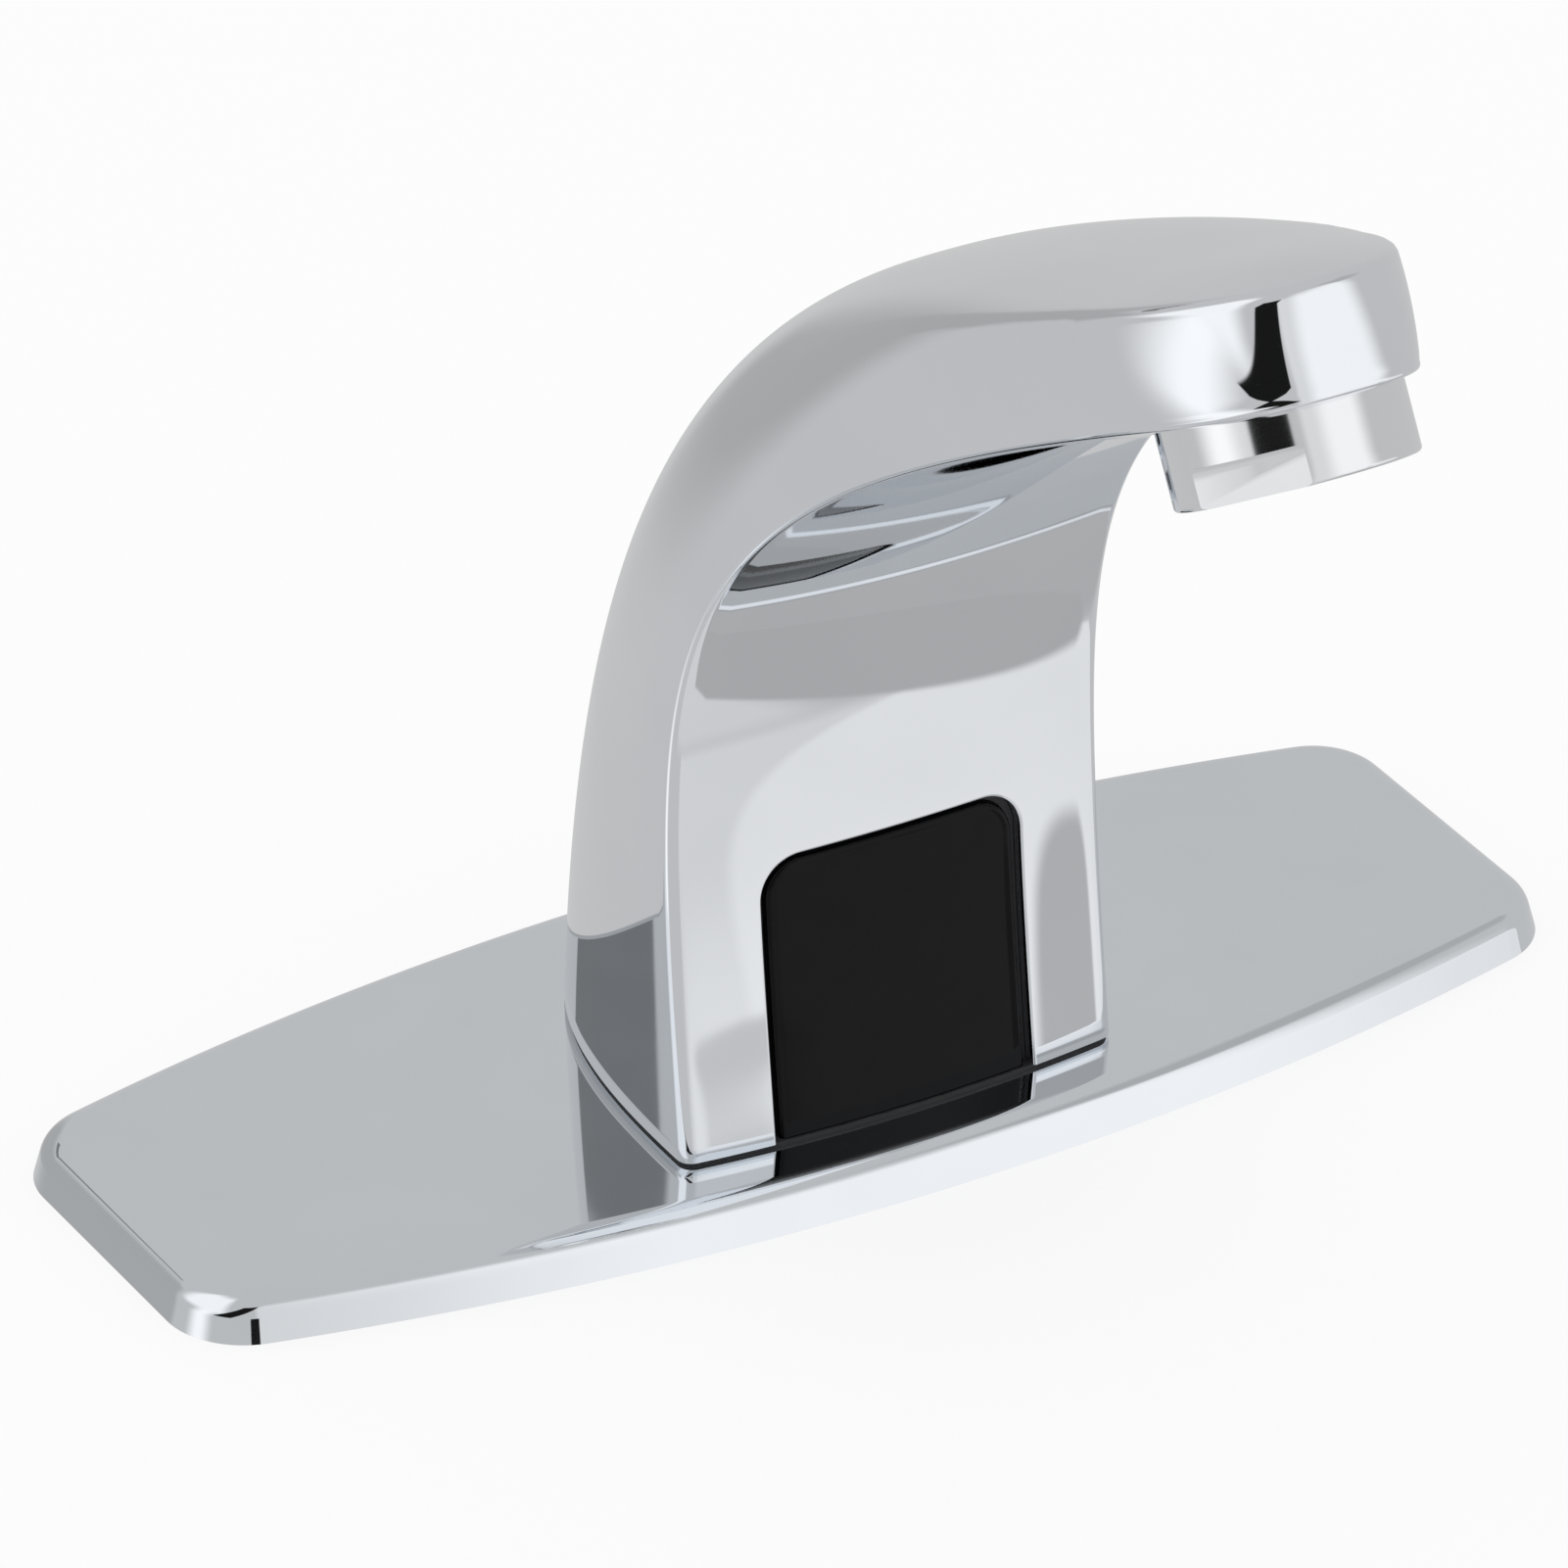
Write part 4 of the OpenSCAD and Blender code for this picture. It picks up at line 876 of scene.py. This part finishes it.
def make_camera():
    """The photograph's camera."""
    data = bpy.data.cameras.new("camera")
    data.sensor_width = SENSOR
    data.sensor_height = SENSOR
    data.sensor_fit = "HORIZONTAL"
    data.lens = LENS
    data.clip_start = 0.05
    data.clip_end = 50
    obj = bpy.data.objects.new("camera", data)
    bpy.context.scene.collection.objects.link(obj)
    right = Vector(CAMERA_RIGHT).normalized()
    up = Vector(CAMERA_UP).normalized()
    back = right.cross(up).normalized()
    up = back.cross(right)
    turn = Matrix((right, up, back)).transposed().to_4x4()
    obj.matrix_world = Matrix.Translation(CAMERA_PLACE) @ turn
    bpy.context.scene.camera = obj


# Floor: its radius in metres, how pale it is, and the share of it that glows to the camera
FLOOR_R = 4
FLOOR_PALE = 0.9
FLOOR_GLOW_SHARE = 0.8


def make_floor():
    """Pale floor, white to the camera and hidden from reflections, which still takes the soft shadow."""
    bpy.ops.mesh.primitive_circle_add(vertices=96, radius=FLOOR_R, fill_type="NGON")
    floor = bpy.context.object
    floor.name = "floor"
    floor.visible_glossy = False
    mat = bpy.data.materials.new("floor")
    mat.use_nodes = True
    nodes = mat.node_tree.nodes
    links = mat.node_tree.links
    shader = nodes["Principled BSDF"]
    shader.inputs["Base Color"].default_value = (FLOOR_PALE, FLOOR_PALE, FLOOR_PALE, 1)
    shader.inputs["Roughness"].default_value = 0.9
    glow = nodes.new("ShaderNodeEmission")
    glow.inputs["Color"].default_value = (1, 1, 1, 1)
    glow.inputs["Strength"].default_value = 1.0
    seen = seen_rays(nodes, links)
    share = nodes.new("ShaderNodeMath")
    share.operation = "MULTIPLY"
    share.inputs[1].default_value = FLOOR_GLOW_SHARE
    links.new(seen, share.inputs[0])
    mix = nodes.new("ShaderNodeMixShader")
    links.new(share.outputs[0], mix.inputs["Fac"])
    links.new(shader.outputs[0], mix.inputs[1])
    links.new(glow.outputs[0], mix.inputs[2])
    links.new(mix.outputs[0], nodes["Material Output"].inputs["Surface"])
    dress(floor, mat)


def seen_rays(nodes, links):
    """One for camera, glossy and transmission rays, and zero for the rest."""
    path = nodes.new("ShaderNodeLightPath")
    add = nodes.new("ShaderNodeMath")
    add.operation = "MAXIMUM"
    links.new(path.outputs["Is Camera Ray"], add.inputs[0])
    links.new(path.outputs["Is Glossy Ray"], add.inputs[1])
    more = nodes.new("ShaderNodeMath")
    more.operation = "MAXIMUM"
    links.new(add.outputs[0], more.inputs[0])
    links.new(path.outputs["Is Transmission Ray"], more.inputs[1])
    return more.outputs[0]


# The studio as the chrome mirrors it. Each zone is a box or an oval of directions, laid over those before
# it. It has a level, the azimuth of its middle, counted from the front towards +X, and its half width, the
# elevation of its middle and its half height, and the softness of its edge, all in degrees. The last number
# is its lean: how many degrees it moves to the right for each degree upwards.
STUDIO_LEVEL = 0.6
STUDIO_ZONES = [
    ("left softbox", "box", 1.08, -90, 32, 42, 31, 18, 0),
    ("left softbox's foot", "box", 1.14, -92, 10.5, -10, 27, 18, 0.5),
    ("dim at the back left", "box", 0.45, -164, 31, 2, 23, 12, 0),
    ("floor in front", "box", 0.72, 5, 45, -66, 24, 6, 0),
    ("floor at the right", "box", 0.48, 66, 34, -66, 24, 6, 0),
    ("front strip", "box", 0.75, 26, 30, -29, 12, 3, 0),
    ("front sheet", "oval", 0.87, 45, 28, -18, 24, 1, 0),
    ("dark floor", "oval", 0.46, 43, 14, -58, 20, 1.2, 0),
    ("right softbox's dim edge", "box", 0.8, 0, 14, 12, 30, 8, 0),
    ("right softbox", "box", 1.06, 27, 21, 12, 30, 20, 0),
    ("dark wedge", "oval", 0.5, 41, 3.5, -18.5, 5, 1, 0),
    ("grey patch at the left", "oval", 0.62, 15, 5, -18.8, 0.35, 0.2, 0),
    ("dim above the right softbox", "box", 0.48, 64, 20, 46, 9, 8, 0),
    ("foot of the dark gap", "box", 0.01, -17, 5.5, -2.6, 1.3, 1, 0),
    ("dark gap at the camera", "box", 0.01, -40, 12, 22, 20.5, 1.5, 1),
    ("dark wall at the back", "box", 0.22, -167, 15.2, 31, 2.2, 0.6, 0),
]


def studio_level(nodes, links, direction):
    """Brightness of the studio by direction, zone over zone."""
    split = nodes.new("ShaderNodeSeparateXYZ")
    links.new(direction, split.inputs[0])
    height = math_node(nodes, links, "ARCSINE", split.outputs["Z"])
    level = None
    for name, kind, value, azimuth, half, middle, tall, soft, lean in STUDIO_ZONES:
        c, s = math.cos(math.radians(azimuth)), math.sin(math.radians(azimuth))
        across = dot(nodes, links, direction, (c, s, 0))
        along = dot(nodes, links, direction, (s, -c, 0))
        turn = math_node(nodes, links, "ARCTAN2", across, along)
        rise = math_node(nodes, links, "SUBTRACT", height, math.radians(middle))
        if lean:
            turn = math_node(nodes, links, "SUBTRACT", turn, math_node(nodes, links, "MULTIPLY", rise, lean))
        if kind == "box":
            turn = math_node(nodes, links, "ABSOLUTE", turn)
            rise = math_node(nodes, links, "ABSOLUTE", rise)
            inside = math_node(nodes, links, "MULTIPLY", step_down(nodes, links, turn, half, soft),
                               step_down(nodes, links, rise, tall, soft))
        else:
            wide = math_node(nodes, links, "DIVIDE", turn, math.radians(half))
            high = math_node(nodes, links, "DIVIDE", rise, math.radians(tall))
            size = math_node(nodes, links, "MULTIPLY", wide, wide)
            size = math_node(nodes, links, "ADD", size, math_node(nodes, links, "MULTIPLY", high, high))
            size = math_node(nodes, links, "SQRT", size)
            size = math_node(nodes, links, "MULTIPLY", size, math.radians(min(half, tall)))
            inside = step_down(nodes, links, size, min(half, tall), soft)
        mix = nodes.new("ShaderNodeMix")
        mix.label = name
        mix.inputs["B"].default_value = value
        links.new(inside, mix.inputs["Factor"])
        if level is None:
            mix.inputs["A"].default_value = STUDIO_LEVEL
        else:
            links.new(level, mix.inputs["A"])
        level = mix.outputs["Result"]
    return level


def math_node(nodes, links, operation, *values):
    """A math node on links or plain numbers."""
    node = nodes.new("ShaderNodeMath")
    node.operation = operation
    for socket, value in zip(node.inputs, values):
        if isinstance(value, (int, float)):
            socket.default_value = value
        else:
            links.new(value, socket)
    return node.outputs[0]


def dot(nodes, links, vector, other):
    """Dot product of a linked vector and a constant one."""
    node = nodes.new("ShaderNodeVectorMath")
    node.operation = "DOT_PRODUCT"
    node.inputs[1].default_value = other
    links.new(vector, node.inputs[0])
    return node.outputs["Value"]


def step_down(nodes, links, value, edge, soft):
    """Smooth step from 1 to 0 over soft degrees at edge, in degrees."""
    node = nodes.new("ShaderNodeMapRange")
    node.interpolation_type = "SMOOTHSTEP"
    node.inputs["From Min"].default_value = math.radians(edge - soft / 2)
    node.inputs["From Max"].default_value = math.radians(edge + soft / 2)
    node.inputs["To Min"].default_value = 1
    node.inputs["To Max"].default_value = 0
    links.new(value, node.inputs["Value"])
    return node.outputs["Result"]


def make_world():
    """White to the camera and in diffuse light, and a studio with softboxes in the chrome."""
    world = bpy.data.worlds.new("studio")
    bpy.context.scene.world = world
    world.use_nodes = True
    nodes = world.node_tree.nodes
    links = world.node_tree.links
    back = nodes["Background"]
    where = nodes.new("ShaderNodeTexCoord")
    level = studio_level(nodes, links, where.outputs["Generated"])
    path = nodes.new("ShaderNodeLightPath")
    mix = nodes.new("ShaderNodeMix")
    mix.inputs["A"].default_value = 1.0
    links.new(path.outputs["Is Glossy Ray"], mix.inputs["Factor"])
    links.new(level, mix.inputs["B"])
    back.inputs["Color"].default_value = (1, 1, 1, 1)
    links.new(mix.outputs["Result"], back.inputs["Strength"])


def main():
    """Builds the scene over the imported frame."""
    make_camera()
    materials = material_set()
    slots = {entry["node"]: entry["material_slot"] for entry in frame["record"]["subparts"]}
    for name, node in frame["nodes"].items():
        dress(node, materials[slots[name]])
    put(make_body(), "tap", "chromed_body", materials, "spout_body")
    put(make_plate(), "tap", "chromed_plate", materials, "deck_plate")
    put(make_foot_gasket(), "tap", "black_rubber", materials, "body_gasket")
    put(make_window(), "tap", "black_window", materials, "sensor_window")
    put(make_window_seal(), "tap", "black_rubber", materials, "window_seal")
    put(make_aerator(), "aerator", "chromed_ring", materials, "aerator_shell")
    make_floor()
    make_world()
    bpy.context.scene.view_settings.view_transform = "Standard"


main()
